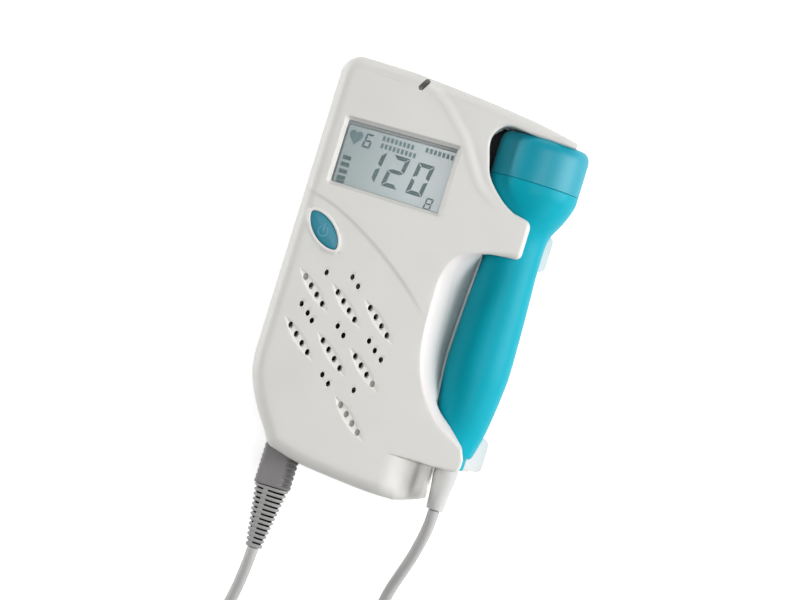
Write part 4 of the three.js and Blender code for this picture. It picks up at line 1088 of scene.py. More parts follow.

# %% [markdown]
# ## Finishes of the front shell
# The shell is one white moulding, but the eye meets it in four ways: its face is softly matt; the leaves
# and the button's ring are glossier and painted paler, a painted sheen; the flank beside the probe is painted
# paler and warmer, a painted light that also offsets the teal light thrown from the probe; and the closed
# sound holes are painted grey, a painted shade in the dimples. They could be painted on by hand in edit
# mode. Here each face gets its finish from where it lies: between the lines of a leaf or the ring, on the
# flank or its lip, or in a dimple.

# %% Front shell and its finishes
# The leaves' and the ring's paler white is a painted sheen, the flank's is painted light, the dimples' grey
# is painted shade.
glossy_painted_sheen = grained("glossy_painted_sheen", srgb(236, 235, 231), 0.34, tint=0.008, bump=0.006)
flank_painted_light = grained("flank_painted_light", srgb(229, 224, 222), 0.4, tint=0.01, bump=0.008)
dimple_painted_shade = grained("dimple_painted_shade", srgb(186, 181, 176), 0.5, tint=0.01, bump=0.01)
front = make_mesh("front_shell_moulded", shell_points, shell_faces, sharp=38)
dress(front, "case", "shell", shell_white, "front_shell")
for extra in (glossy_painted_sheen, flank_painted_light, dimple_painted_shade):
    front.data.materials.append(extra)
middles = np.array([tuple(f.center) for f in front.data.polygons])[:, :2] / MM
pale = (away(middles, button_line)[0] < ring_wide) & ~inside(middles, button_line)
for line in leaf_lines:
    pale |= inside(middles, line)
finish = pale.astype(np.int32)
# The flank and its lip take the painted light.
finish[inside(middles, band)] = 2
finish[lip_faces[0]:lip_faces[1]] = 2
# The dimples take the painted shade.
finish[dimple_faces] = 3
front.data.polygons.foreach_set("material_index", finish)
print("front shell:", len(front.data.polygons), "faces,", int(pale.sum()), "polished")

# %% [markdown]
# ## The rear shell
# Its two ears behind the probe are all that the photograph shows of it, and neither they nor its sides
# have small forms that the solid lacks. It could be built from lines like the front, but the solid's own
# mesh will do: it is copied, its coincident points are joined, and a thin bevel breaks the edges, which
# are never quite sharp on a moulding.

# %% Rear shell from its solid
def softened(node, name, bevel=0.25, sharp=32):
    """A copy of a solid's mesh, cleaned, with a thin bevel on its edges."""
    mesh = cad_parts[node].data.copy()
    mesh.name = name
    work = bmesh.new()
    work.from_mesh(mesh)
    bmesh.ops.remove_doubles(work, verts=work.verts, dist=2e-6)
    bmesh.ops.dissolve_limit(work, angle_limit=math.radians(0.6), verts=work.verts, edges=work.edges)
    work.to_mesh(mesh)
    work.free()
    mesh.shade_smooth()
    mesh.set_sharp_from_angle(angle=math.radians(sharp))
    piece = bpy.data.objects.new(name, mesh)
    bpy.context.scene.collection.objects.link(piece)
    edge = piece.modifiers.new("edge", "BEVEL")
    edge.width = bevel * MM
    edge.segments = 2
    edge.limit_method = "ANGLE"
    edge.angle_limit = math.radians(40)
    return piece


# The rear shell's white is lighter than the front's, partly as painted light on the parts that lie in the
# probe's shade.
back_white = grained("back_white", srgb(236, 236, 233), 0.42, tint=0.012, bump=0.012)
rear = dress(softened("rear_shell", "rear_shell_moulded"), "case", "shell", back_white, "rear_shell")
print("rear shell:", len(rear.data.polygons), "faces before its bevel")

# %% [markdown]
# ## Painted shade and light inside the bay
# Behind the probe's head the pocket lies in deep shade, and its faces are painted almost black, a painted
# shade. The two ears that hold the probe are painted whiter and warmer than the sides, a painted light
# against the probe's shade and the teal it throws on them, though all of it is one moulding. A mask could
# be painted. Here each face is judged by where it lies and which way it faces. The solid's faces are
# large, so they are first cut along one plane, as with the knife tool, and the painted shade ends on a
# straight line.

# %% Painted shade and light inside the bay
ear_painted_light = grained("ear_painted_light", srgb(245, 241, 239), 0.4, tint=0.01, bump=0.008)
bay_painted_shade = grained("bay_painted_shade", srgb(58, 60, 62), 0.6, tint=0.04, bump=0.01)
for extra in (ear_painted_light, bay_painted_shade):
    rear.data.materials.append(extra)
shade_foot, shade_top, shade_left, shade_roof = 36.0, 63.5, 10.5, 14.7
ear_left, ear_roof = 26.2, 9
pocket_middle = np.array([25, 50])
work = bmesh.new()
work.from_mesh(rear.data)
bmesh.ops.bisect_plane(work, geom=work.verts[:] + work.edges[:] + work.faces[:],
                       plane_co=(0, shade_foot * MM, 0), plane_no=(0, 1, 0))
work.to_mesh(rear.data)
work.free()
centres = np.array([tuple(f.center) for f in rear.data.polygons]) / MM
facing = np.array([tuple(f.normal) for f in rear.data.polygons])
upward = facing[:, 2] > 0.3
inward = (facing[:, :2] * (pocket_middle - centres[:, :2])).sum(axis=1) > 2
x, y, z = centres.T
in_pocket = (x > shade_left) & (y > shade_foot) & (y < shade_top) & (z > 0.1) & (z < shade_roof)
# The ears' upper faces take the painted light.
rear_finish = (upward & (x > ear_left) & (z < ear_roof)).astype(np.int32)
# The pocket's faces take the painted shade.
rear_finish[in_pocket & (upward | inward)] = 2
rear.data.polygons.foreach_set("material_index", rear_finish)
print("rear shell finishes:", [int((rear_finish == k).sum()) for k in range(3)])

# %% [markdown]
# ## Turned parts
# The probe is round all along: a bulging handle, a slim neck and a wide head. A cylinder could be pushed
# into that shape loop by loop. It is simpler to spin a profile about the probe's own axis, which runs
# along Y, and one helper does that for each of its parts.

# %% Turned parts
def spun(name, profile, sides=96, sharp=30):
    """A profile of (y, radius) turned about the probe's axis."""
    points, faces, rings = [], [], []
    for y, r in profile:
        if r < 1e-6:
            rings.append([len(points)])
            points.append((probe_x, y, probe_z))
            continue
        rings.append(list(range(len(points), len(points) + sides)))
        points += [(probe_x + r * math.cos(a), y, probe_z + r * math.sin(a))
                   for a in np.arange(sides) * 2 * math.pi / sides]
    for low, high in zip(rings, rings[1:]):
        for k in range(sides):
            m = (k + 1) % sides
            if len(low) == 1:
                faces.append((low[0], high[m], high[k]))
            elif len(high) == 1:
                faces.append((low[k], low[m], high[0]))
            else:
                faces.append((low[k], low[m], high[m], high[k]))
    return make_mesh(name, points, faces, sharp)


def bend(x0, y0, radius, start, stop, steps=6):
    """A small arc in a profile, between two angles in degrees."""
    return [(x0 + radius * math.cos(math.radians(a)), y0 + radius * math.sin(math.radians(a)))
            for a in np.linspace(start, stop, steps + 1)]


print("points in a small arc:", len(bend(0, 0, 1, 0, 90)))

# %% [markdown]
# ## The probe's handle
# The handle is one hollow moulding of teal plastic, from the collar at the cord to the wide end that the
# head's cap closes. Its line could be traced again by eye, but then it might not fit the case. So it is the
# line that the bay's lip and the probe's room were measured from.

# %% Handle of the probe
probe_teal = grained("probe_teal", srgb(6, 168, 188), 0.42, tint=0.02, bump=0.004, swing=0.03, specular=0.12)
cap_foot = 46.75
body_top = cap_foot - 0.1
handle_foot, cord_bore, head_bore, seam = -49.5, 3.3, 14.3, 0.2
handle = [(y, r) for y, r in handle_line if handle_foot < y < body_top - 0.5]
profile = [(collar_top + 1.0, cord_bore), (probe_foot, cord_bore),
           *bend(probe_foot + 0.4, collar_radius - 0.4, 0.4, 180, 90), (-51.3, collar_radius),
           (-50.95, 5.62), (-50.75, 6.4), (-50.4, 6.85), *handle,
           *bend(body_top - seam, head_radius - seam, seam, 90, 0),
           (body_top, head_bore), (body_top - 6, head_bore)]
body = dress(spun("probe_handle", profile), "probe", "probe_plastic", probe_teal, "probe_body")
print("probe handle:", len(body.data.polygons), "faces")

# %% [markdown]
# ## The probe's head
# The head is a cap over the wide end of the body, with a fine groove at the seam and a soft front edge. It
# is a moulding of its own, in a slightly deeper teal that is partly painted shade, and the acoustic face
# lies just inside its edge. A bevel modifier makes round corners, and this one is oval, longer along the
# probe than across it. So the oval is a part of the profile.

# %% Head of the probe
# The cap's deeper teal is partly painted shade.
cap_teal = grained("cap_teal", srgb(6, 156, 178), 0.44, tint=0.02, bump=0.003, swing=0.03, specular=0.45)
face_grey = grained("face_grey", srgb(196, 200, 200), 0.4, tint=0.02, bump=0.01)
head_top = probe_foot + probe_length
soft_edge = [(head_top - corner_long * (1 - math.cos(a)), head_radius - corner_deep * (1 - math.sin(a)))
             for a in np.linspace(math.pi / 2, 0.07, 14)]
profile = [(cap_foot + 5, head_bore), (cap_foot, head_bore),
           *bend(cap_foot + seam, head_radius - seam, seam, 180, 90), (cap_foot + 3, head_radius),
           (head_top - corner_long - 1, head_radius), *soft_edge, (head_top - 0.02, 13.45),
           (head_top - 0.5, 13.42), (head_top - 2.3, 13.42)]
cap = dress(spun("probe_head_cap", profile), "probe", "probe_plastic", cap_teal, "probe_cap")
profile = [(head_top - 2, 0), (head_top - 2, 13.2), (head_top - 0.35, 13.2), (head_top - 0.12, 13.0),
           (head_top - 0.1, 9), (head_top - 0.04, 4), (head_top - 0.02, 0)]
face = dress(spun("probe_face", profile), "probe", "face_plastic", face_grey, "acoustic_face")
print("probe head:", len(cap.data.polygons) + len(face.data.polygons), "faces")

# %% [markdown]
# ## The boot
# Where the cord leaves the probe, a soft boot keeps it from being bent sharply. It tapers in a slight
# waist and ends in a rolled lip round the cord. A scaled cone would have neither. A spun profile, like the
# probe's, has both.

# %% Boot on the probe's cord
boot_grey = grained("boot_grey", srgb(203, 203, 202), 0.45, tint=0.02, bump=0.02)
boot_top = probe_foot - 0.3
profile = [(boot_top + 4.5, 0), (boot_top + 4.5, 3), (boot_top, 3), (boot_top, 3.9),
           *bend(boot_top - 0.3, 3.9, 0.3, 0, 90, 4), (boot_top - 2, 4.2), (boot_top - 3.4, 4.18),
           (boot_top - 5.5, 3.9), (boot_top - 8, 3.55), (boot_top - 11, 3.28), (boot_top - 14, 3.1),
           (boot_top - 15, 3.05), *bend(boot_top - 15.05, 2.7, 0.34, 90, 180, 4), (boot_top - 15.38, 2.1),
           (boot_top - 14.6, 2.02), (boot_top - 14.5, 0)]
boot = dress(spun("cord_boot_tapered", profile[::-1], sides=64), "probe", "cord_rubber", boot_grey,
             "cord_boot")
print("boot:", len(boot.data.polygons), "faces")

# %% [markdown]
# ## The display's frame and panel
# Under the clear window a grey frame hides the panel's edges. It shows as a strip along the top and one
# down the left, and only as a thin edge at the right and the bottom. The strip down the left is painted
# darker, a painted shade of the window's wall. A flat sheet with a hole would do from straight above.
# Lofted rings give the opening a step, which catches the light from the side.

# %% Display frame
frame_top, frame_foot = 29.25, 28.15
outer = rounded_box(43.8, 28.4, 1.2)


def frame_ring(points, z, x=window_x, y=window_y):
    return [(x + u, y + v, z) for u, v in points]


inner_wide, inner_high = 38.8, 22.0
inner_x, inner_y = -18.2, 38.2
inner = sloped(rounded_box(inner_wide, inner_high, 1.1), inner_wide)
inner_low = sloped(rounded_box(inner_wide - 0.5, inner_high - 0.5, 0.9), inner_wide)
rings = [frame_ring(outer, frame_foot), frame_ring(outer, frame_top),
         frame_ring(inner, frame_top, inner_x, inner_y),
         frame_ring(inner_low, frame_top - 0.5, inner_x, inner_y),
         frame_ring(inner_low, frame_foot, inner_x, inner_y)]
frame_points, frame_faces = loft(rings + [rings[0]], capped=(False, False))
display_frame = make_mesh("display_frame_stepped", frame_points, frame_faces)
dark_frame = grained("dark_frame", srgb(150, 156, 157), 0.5, tint=0.03, bump=0.01)
painted_shade_strip = grained("painted_shade_strip", srgb(92, 96, 98), 0.5, tint=0.04, bump=0.01)
dress(display_frame, "case", "dark_plastic", dark_frame, "display_frame")
display_frame.data.materials.append(painted_shade_strip)
# The faces of the left strip take the painted shade.
strip_right, strip_half_high = inner_x - inner_wide / 2 + 0.8, inner_high / 2
for part in display_frame.data.polygons:
    if part.center.x < strip_right * MM and abs(part.center.y - inner_y * MM) < strip_half_high * MM:
        part.material_index = 1
print("display frame:", len(display_frame.data.polygons), "faces")

# %% [markdown]
# ## What the display shows
# The segments of a liquid crystal display are thin flat shapes under its glass. They could be a picture on
# the panel, but flat meshes a few hundredths of a millimetre above it stay sharp from close by. A big
# number leans to the right. Each of its seven segments is a polygon with mitred ends, drawn in a little,
# so that a fine gap is left between neighbours.

# %% Seven-segment digits
panel_top = 27.8
mark_z = panel_top + 0.05
lean = math.tan(math.radians(8))
marks = []


def leaned(points, x, y):
    return [(x + u + v * lean, y + v, mark_z) for u, v in points]


def digit(lit, x, y, wide, high, weight, gap=0.16):
    """Seven segments with mitred ends, lettered a to g from the top, clockwise, with g in the middle."""
    t, half = weight, high / 2
    shapes = {"a": [(0, high), (t, high - t), (wide - t, high - t), (wide, high)],
              "d": [(0, 0), (wide, 0), (wide - t, t), (t, t)],
              "f": [(0, high), (0, half), (t, half + t / 2), (t, high - t)],
              "e": [(0, 0), (t, t), (t, half - t / 2), (0, half)],
              "b": [(wide, high), (wide - t, high - t), (wide - t, half + t / 2), (wide, half)],
              "c": [(wide, 0), (wide, half), (wide - t, half - t / 2), (wide - t, t)],
              "g": [(0, half), (t, half - t / 2), (wide - t, half - t / 2), (wide, half),
                    (wide - t, half + t / 2), (t, half + t / 2)]}
    for name in lit:
        marks.append(leaned(grown(shapes[name], -gap), x, y))


big = (6.1, 11.7, 1.7)
digit("bc", -29.8, 30.7, *big)
digit("abged", -21.5, 30.7, *big)
digit("abcdef", -12.7, 30.7, *big)
digit("acdefg", -31.6, 41.4, 2.9, 5.2, 0.8, 0.08)
digit("abcdefg", -5.4, 27.2, 2.7, 4.3, 0.7, 0.08)
print("segments:", len(marks))

# %% [markdown]
# ## Heart, bars and rows
# Round the number stand a small heart, a stack of five bars for the sound level, and rows of short plain
# bars. The heart is a known closed curve, which is smoother than one drawn by hand. All marks of one ink
# are one mesh, because they never move apart, and separate objects would only slow the scene down.

# %% Heart, bars and the scale
heart_x, heart_y, heart_wide, heart_high = -34.2, 44.2, 0.145, 0.18
scale_left, scale_right, scale_half = -36.5, -33.6, 0.72
heart = []
for k in range(40):
    t = 2 * math.pi * k / 40
    rise = 13 * math.cos(t) - 5 * math.cos(2 * t) - 2 * math.cos(3 * t) - math.cos(4 * t)
    heart.append((heart_x + heart_wide * 16 * math.sin(t) ** 3, heart_y + heart_high * rise, mark_z))
for y in (36.4, 34.0, 31.6, 29.3, 27.7):
    low, high = y - scale_half, y + scale_half
    marks.append([(scale_left, low, mark_z), (scale_right, low, mark_z), (scale_right, high, mark_z),
                  (scale_left, high, mark_z)])
faint = [heart[::-1]]


def bar_row(x, y, count, step, wide, high):
    for k in range(count):
        left = x + k * step
        faint.append([(left + u, y + v, mark_z) for u, v in ((0, 0), (wide, 0), (wide, high), (0, high))])


bar_row(-25.2, 45.6, 8, 1.45, 0.95, 1.7)
bar_row(-25.2, 43.0, 9, 1.45, 0.95, 1.7)
bar_row(-10.0, 46.1, 7, 1.5, 1.0, 1.7)
bar_row(-2.2, 26.3, 4, 0.85, 0.5, 1.2)


def flat_marks(name, outlines, material):
    points, faces = [], []
    for line in outlines:
        faces.append(tuple(range(len(points), len(points) + len(line))))
        points += line
    return dress(make_mesh(name, points, faces), "case", "lcd", material)


segment_ink = grained("segment_ink", srgb(46, 88, 88), 0.4, tint=0.1, bump=0.0)
faint_ink = grained("faint_ink", srgb(92, 124, 128), 0.4, tint=0.1, bump=0.0)
flat_marks("lcd_segments", marks, segment_ink)
flat_marks("lcd_faint_marks", faint, faint_ink)
print("marks:", len(marks), "and", len(faint))

# %% [markdown]
# ## The power button
# A teal leaf sits inside the raised white ring. It is gently crowned. A flattened sphere would be crowned
# too much, so it is made of ovals that shrink and rise, quickly at the edge and slowly in the middle. Its
# sign, an open ring with a bar, is a fine raised line in a lighter teal.

# %% Power button
button_teal = grained("button_teal", srgb(34, 134, 156), 0.4, tint=0.02, bump=0.008, swing=0.04)
rows = [(0, 29.6), (0, 32.6), (0.04, 32.75), (0.14, 32.86), (0.35, 32.94), (0.8, 33.0), (1.4, 33.06),
        (2.1, 33.12), (2.8, 33.16), (3.3, 33.17)]
rings = [[(x, y, z) for x, y in button_oval(-inset)] for inset, z in rows]
button_points, button_faces = loft(rings)
button = dress(make_mesh("power_button_leaf", button_points, button_faces), "button", "button", button_teal,
               "power_button")
sign_teal = grained("sign_teal", srgb(70, 158, 180), 0.35, tint=0.03, bump=0.01)


def ribbon(line, width, z, height=0.06):
    """A flat raised line along the points."""
    p = np.array(line, float)
    run = np.gradient(p, axis=0)
    run /= np.linalg.norm(run, axis=1)[:, None]
    out = np.column_stack([-run[:, 1], run[:, 0]]) * width / 2
    rings = [[(*(q - o), z), (*(q + o), z), (*(q + o), z + height), (*(q - o), z + height)]
             for q, o in zip(p, out)]
    return loft(rings)


sign_x, sign_y = button_x - 0.2, button_y - 0.5
open_ring = arc(sign_x, sign_y, 1.7, math.radians(120), math.radians(420), 28)
upright = [(sign_x, button_y - 0.6), (sign_x, button_y + 0.8), (sign_x, button_y + 2.2)]
sign_points, sign_faces = [], []
for line in (open_ring, upright):
    p, f = ribbon(line, 0.36, 33.14)
    sign_faces += [tuple(i + len(sign_points) for i in face) for face in f]
    sign_points += p
dress(make_mesh("power_sign", sign_points, sign_faces), "button", "button", sign_teal)
print("button:", len(button.data.polygons), "faces")

# %% [markdown]
# ## The indicator lens
# A smoked lens fills the slot in the top edge, and the lamp under it shines through. The slot crosses the
# rounded edge of the case, so a flat lens would stand out of it at one end. The lens is lofted from rings
# that shrink, and each of their points is laid just under the height that the edge has there.

# %% Indicator lens
smoked = grained("smoked", srgb(104, 101, 101), 0.25, tint=0.04, bump=0.005)
lens_wide, lens_high, lens_corner, lens_foot = 4.6, 1.6, 0.75, 27.6


def lens_line(inset):
    box = rounded_box(lens_wide - 2 * inset, lens_high - 2 * inset, max(0.01, lens_corner - inset))
    return turned(box, slot_angle, slot_x, slot_y)


rings = [[(x, y, lens_foot) for x, y in lens_line(0)]]
for inset in (0, 0.1, 0.3, 0.6, 0.78):
    line = lens_line(inset)
    sink = 0.28 if inset == 0 else 0.18
    z = face_z - rounded_off(away(line, silhouette)[0], edge_round) - sink
    rings.append([(x, y, float(h)) for (x, y), h in zip(line, z)])
lens_points, lens_faces = loft(rings)
lens = dress(make_mesh("indicator_window", lens_points, lens_faces), "case", "smoked_plastic", smoked,
             "indicator_lens")
print("indicator:", len(lens.data.polygons), "faces")

# %% [markdown]
# ## The plug
# The cord's plug is an overmoulded block of dark grey rubber, flat on its face, with a ridged grip along
# each side. An array of small blocks could stand for the ridges, with seams between them. It is lofted in
# thin slices along its length instead, and the ridges come from moving the points of each slice in and out.

# %% Plug body
plug_grey = grained("plug_grey", srgb(134, 132, 132), 0.6, tint=0.05, bump=0.05)
plug_top, plug_foot = -58.5, -79.8
plug_wide, plug_high, plug_round, grip_pitch = 13, 9.6, 0.5, 1.85


def ridge(y):
    return 0.5 + 0.5 * math.cos(2 * math.pi * (y - plug_top + 0.4) / grip_pitch)


rings = []
section = rounded_box(plug_wide, plug_high, 1.6, 6)
fine_section = []
for (u0, v0), (u1, v1) in zip(section, section[1:] + section[:1]):
    pieces = int(math.hypot(u1 - u0, v1 - v0) / 0.7) + 1
    fine_section += [(u0 + (u1 - u0) * i / pieces, v0 + (v1 - v0) * i / pieces) for i in range(pieces)]
for y in np.linspace(plug_foot, plug_top, 118):
    ring = []
    tuck = float(rounded_off(min(y - plug_foot, plug_top - y), plug_round))
    grip = float(ramp(y, plug_foot + 0.8, plug_foot + 1.6) * ramp(-y, 60.0, 61.0))
    low = 1 - ridge(y)
    for u, v in fine_section:
        right, left = float(ramp(u, 2.7, 3.3)), float(ramp(-u, 5.7, 6.3))
        v_new = v - math.copysign(1, v) * right * grip * (0.1 + 1.3 * low) * min(1, abs(v) / 3.5)
        u_new = u - grip * 0.45 * low * (1 if u > 5.5 else 0) + grip * 0.25 * low * left
        ring.append((plug_x + u_new * (1 - 2 * tuck / plug_wide), y,
                     plug_z + v_new * (1 - 2 * tuck / plug_high)))
    rings.append(ring)
plug_points, plug_faces = loft(rings)
plug = dress(make_mesh("plug_overmould", plug_points, [tuple(reversed(f)) for f in plug_faces], sharp=45),
             "plug", "plug_rubber", plug_grey, "plug_body")
print("plug:", len(plug.data.polygons), "faces")

# %% [markdown]
# ## The plug's strain relief
# Behind the plug a paler rubber tapers to the cord and is slotted, so that it bends like a spring: a spine
# runs down it, and on each side of the spine twelve slots let the rings move. A stack of separate rings
# would look alike from far, but the real one is a single moulding. So it is one sleeve, lofted with its
# edge waving in and out, and the slots are cut into it afterwards.

# %% Sleeve of the relief
relief_grey = grained("relief_grey", srgb(168, 167, 166), 0.6, tint=0.05, bump=0.05)
relief_top, relief_long, slot_pitch = -80.1, 21.8, 1.72


def relief_half(y):
    """Half of the sleeve's width at y."""
    return float(np.interp(relief_top - y, [0, relief_long], [6.1, 2.95]))


rings = []
sleeve_wide, sleeve_high, sleeve_square, sleeve_sides = 12.2, 8.6, 0.72, 56
for y in np.linspace(relief_top - relief_long, relief_top, 170):
    down_by = relief_top - y
    phase = (down_by - slot_pitch + 0.4) / slot_pitch
    notch = 0.5 + 0.5 * math.cos(2 * math.pi * phase)
    active = 1.0 if 0.9 < down_by < relief_long - 0.7 else 0.0
    half = relief_half(y) - 0.85 * active * notch ** 1.3
    half -= 0.3 * max(0, 1 - min(down_by, relief_long - down_by) / 0.3)
    high = (relief_half(y) - 0.25 * active * notch) * sleeve_high / sleeve_wide
    ring = []
    for k in range(sleeve_sides):
        angle = 2 * math.pi * k / sleeve_sides
        c, s = math.cos(angle), math.sin(angle)
        ring.append((plug_x + half * math.copysign(abs(c) ** sleeve_square, c), y,
                     plug_z + high * math.copysign(abs(s) ** sleeve_square, s)))
    rings.append(ring)
sleeve_points, sleeve_faces = loft(rings)
sleeve = dress(make_mesh("plug_relief_sleeve", sleeve_points, [tuple(reversed(f)) for f in sleeve_faces],
                         sharp=50), "plug", "plug_rubber", relief_grey, "plug_relief")
print("sleeve:", len(sleeve.data.polygons), "faces")

# %% [markdown]
# ## Slots of the relief
# The slots are narrow and look black, because hardly any light gets in. They could be modelled face by
# face. A boolean modifier cuts them all at once with one mesh of small rounded bars, and with its material
# mode set to transfer the walls of the slots take the bars' black, which is painted shade.

# %% Slots of the relief
# The black is painted shade in the slots.
slot_painted_shade = grained("slot_painted_shade", srgb(22, 22, 23), 0.8, tint=0.1, bump=0.02, specular=0.1)
cutter_points, cutter_faces = [], []
spine_x, spine_half, slot_high, shortest = -1.7, 0.8, 0.62, 0.35
for k in range(12):
    y = relief_top - slot_pitch * (k + 1) + 0.4
    half = relief_half(y)
    for x0, x1 in ((-half + 1.15, spine_x - spine_half), (spine_x + spine_half, half - 0.95)):
        x0 = min(x0, x1 - shortest)
        ends = rounded_box(x1 - x0, slot_high, min(0.3, (x1 - x0) / 2 - 0.01), 4)
        middle = (x0 + x1) / 2
        for z0, z1 in ((1.1, 6), (-6, -1.1)):
            p, f = loft([[(plug_x + middle + u, y + v - 0.02 * (u + middle), plug_z + z) for u, v in ends]
                         for z in (z0, z1)])
            cutter_faces += [tuple(i + len(cutter_points) for i in face) for face in f]
            cutter_points += p
cutters = make_mesh("relief_cutters", cutter_points, cutter_faces)
cutters.data.materials.append(slot_painted_shade)
sleeve.data.materials.append(slot_painted_shade)
slots = sleeve.modifiers.new("slots", "BOOLEAN")
slots.object = cutters
slots.solver = "EXACT"
slots.material_mode = "TRANSFER"
bpy.context.view_layer.update()
cut = bpy.data.meshes.new_from_object(sleeve.evaluated_get(bpy.context.evaluated_depsgraph_get()))
sleeve.modifiers.clear()
sleeve.data = cut
bpy.data.objects.remove(cutters)
print("sleeve after cutting:", len(cut.polygons), "faces,", len(cut.materials), "finishes")

# %% [markdown]
# ## The recess in the foot
# When the plug is drawn out, the socket shows at the bottom of a square recess, which goes into both
# shells. A boolean could cut it, but it would leave slivers in a mesh as fine as the front shell's. So both
# shells end round it, and its walls are one lining of their own.

# %% Lining of the recess
nose_wide, nose_high, socket_wall, slack = 9, 5.6, 3, 0.6
recess_floor, lining_end = -58.2, -50.5
recess = rounded_box(recess_wide, recess_high, recess_corner, 6)
recess_in = rounded_box(nose_wide + socket_wall + slack, nose_high + socket_wall + slack, 0.8, 6)
foot_points = silhouette[(silhouette[:, 1] < -55) & (silhouette[:, 0] < 0)]
foot_points = foot_points[foot_points[:, 0].argsort()]


def foot_edge_y(x):
    return float(np.interp(x, foot_points[:, 0], foot_points[:, 1]))


rings = [[(plug_x + u, foot_edge_y(plug_x + u) + 0.1, plug_z + v) for u, v in recess],
         [(plug_x + u, recess_floor, plug_z + v) for u, v in recess],
         [(plug_x + u, recess_floor, plug_z + v) for u, v in recess_in],
         [(plug_x + u, lining_end, plug_z + v) for u, v in recess_in]]
lining_points, lining_faces = loft(rings, capped=(False, False))
lining = dress(make_mesh("plug_recess_lining", lining_points, lining_faces), "case", "shell", shell_white)
print("lining:", len(lining.data.polygons), "faces")

# %% [markdown]
# ## Metal
# Screws, contacts, the loudspeaker's basket and the plug's nose are plated steel. A metal could have a
# recipe of its own, but it is the same shader with Metallic set to 1. The plastic's grain and its swing in
# gloss keep the plating from looking like chrome.

# %% Metal
def plated(name, color, rough=0.3):
    material = grained(name, color, rough, tint=0.05, grain=2000, bump=0.01, swing=0.1)
    set_inputs(principled(material), Metallic=1)
    return material


steel = plated("plated_steel", srgb(196, 198, 200))
magnet_grey = plated("magnet_grey", srgb(120, 120, 124), 0.45)
crystal_metal = plated("crystal_metal", srgb(214, 205, 188), 0.3)
print("metals:", [m.name for m in (steel, magnet_grey, crystal_metal)])

# %% [markdown]
# ## The circuit board
# A board is green from its solder mask, and the copper tracks show through it as paler lines. Real tracks
# would take a mesh of hundreds of strips that is hardly ever seen. A brick pattern with pale mortar gives
# lines that run along the board and turn off squarely, for one node.

# %% Circuit board
def board_finish():
    material = grained("solder_mask", srgb(24, 96, 54), 0.35, tint=0.08, bump=0.01)
    place = add_node(material, "TexCoord")
    tracks = add_node(material, "TexBrick", Scale=180, Mortar_Size=0.06, Mortar_Smooth=0,
                      Color1=(*srgb(22, 92, 50), 1), Color2=(*srgb(26, 100, 56), 1),
                      Mortar=(*srgb(52, 138, 84), 1))
    link(material, place, "Object", tracks, "Vector")
    link(material, tracks, "Color", principled(material), "Base Color")
    return material


solder_mask = board_finish()
print("board finish:", solder_mask.name)

# %% [markdown]
# ## The panel and its window
# The panel is grey-green. It is painted paler towards its right side, a painted light, and it glows a
# little, a painted glow that lifts the shade in its recess. A colour ramp along X does the first, and the
# same colours go into the emission for the second. The window over it is a clear sheet. Glass that bends
# the light would need many more samples to come out clean, so the sheet is only made almost transparent
# and keeps its reflections.

# %% Liquid crystal panel and its window
def panel_painted_light():
    material = grained("liquid_crystal", srgb(176, 189, 190), 0.25, tint=0.02, bump=0)
    # The emission is a painted glow, and the ramp paints the panel lighter towards its right side.
    shader = set_inputs(principled(material), Emission_Strength=0.5)
    place, split = add_node(material, "TexCoord"), add_node(material, "SeparateXYZ")
    spread = add_node(material, "MapRange", From_Min=-0.038, From_Max=0.002)
    tones = add_node(material, "ValToRGB")
    for stop, tone in zip(tones.color_ramp.elements, (srgb(118, 133, 134), srgb(168, 176, 178))):
        stop.color = (*tone, 1)
    link(material, place, "Object", split, "Vector")
    link(material, split, "X", spread, "Value")
    link(material, spread, "Result", tones, "Fac")
    link(material, tones, "Color", shader, "Base Color")
    link(material, tones, "Color", shader, "Emission Color")
    return material


liquid_crystal = panel_painted_light()
clear_sheet = grained("clear_sheet", srgb(235, 240, 240), 0.08, tint=0.01, bump=0, swing=0.03)
set_inputs(principled(clear_sheet), Alpha=0.045)
print("panel finish:", liquid_crystal.name)

# %% [markdown]
# ## The loudspeaker's cone
# The cone is black paper with fine ribs pressed into it, and is seen only through the sound holes. Ribs in
# the mesh would cost thousands of faces there. So the rings of a wave texture drive a bump, and a mapping
# moves their middle to the loudspeaker's axis.

# %% Speaker cone
def cone_finish():
    material = grained("paper_cone", srgb(30, 30, 32), 0.75, tint=0.1, bump=0.04)
    place = add_node(material, "TexCoord")
    shift = add_node(material, "Mapping", Location=(0.02, 0.023, 0))
    rings = add_node(material, "TexWave", Scale=160)
    rings.wave_type = "RINGS"
    rings.rings_direction = "Z"
    relief = add_node(material, "Bump", Distance=0.0002)
    link(material, place, "Object", shift, "Vector")
    link(material, shift, "Vector", rings, "Vector")
    link(material, rings, "Fac", relief, "Height")
    link(material, relief, "Normal", principled(material), "Normal")
    return material


paper_cone = cone_finish()
print("cone finish:", paper_cone.name)

# %% [markdown]
# ## The parts inside
# Boards, chips, cells, contacts, screws and the display's layers are plain shapes, so their solids are
# shown as they are and only need a finish. Each could be given its own by hand. A table from name to
# finish is easier to check.

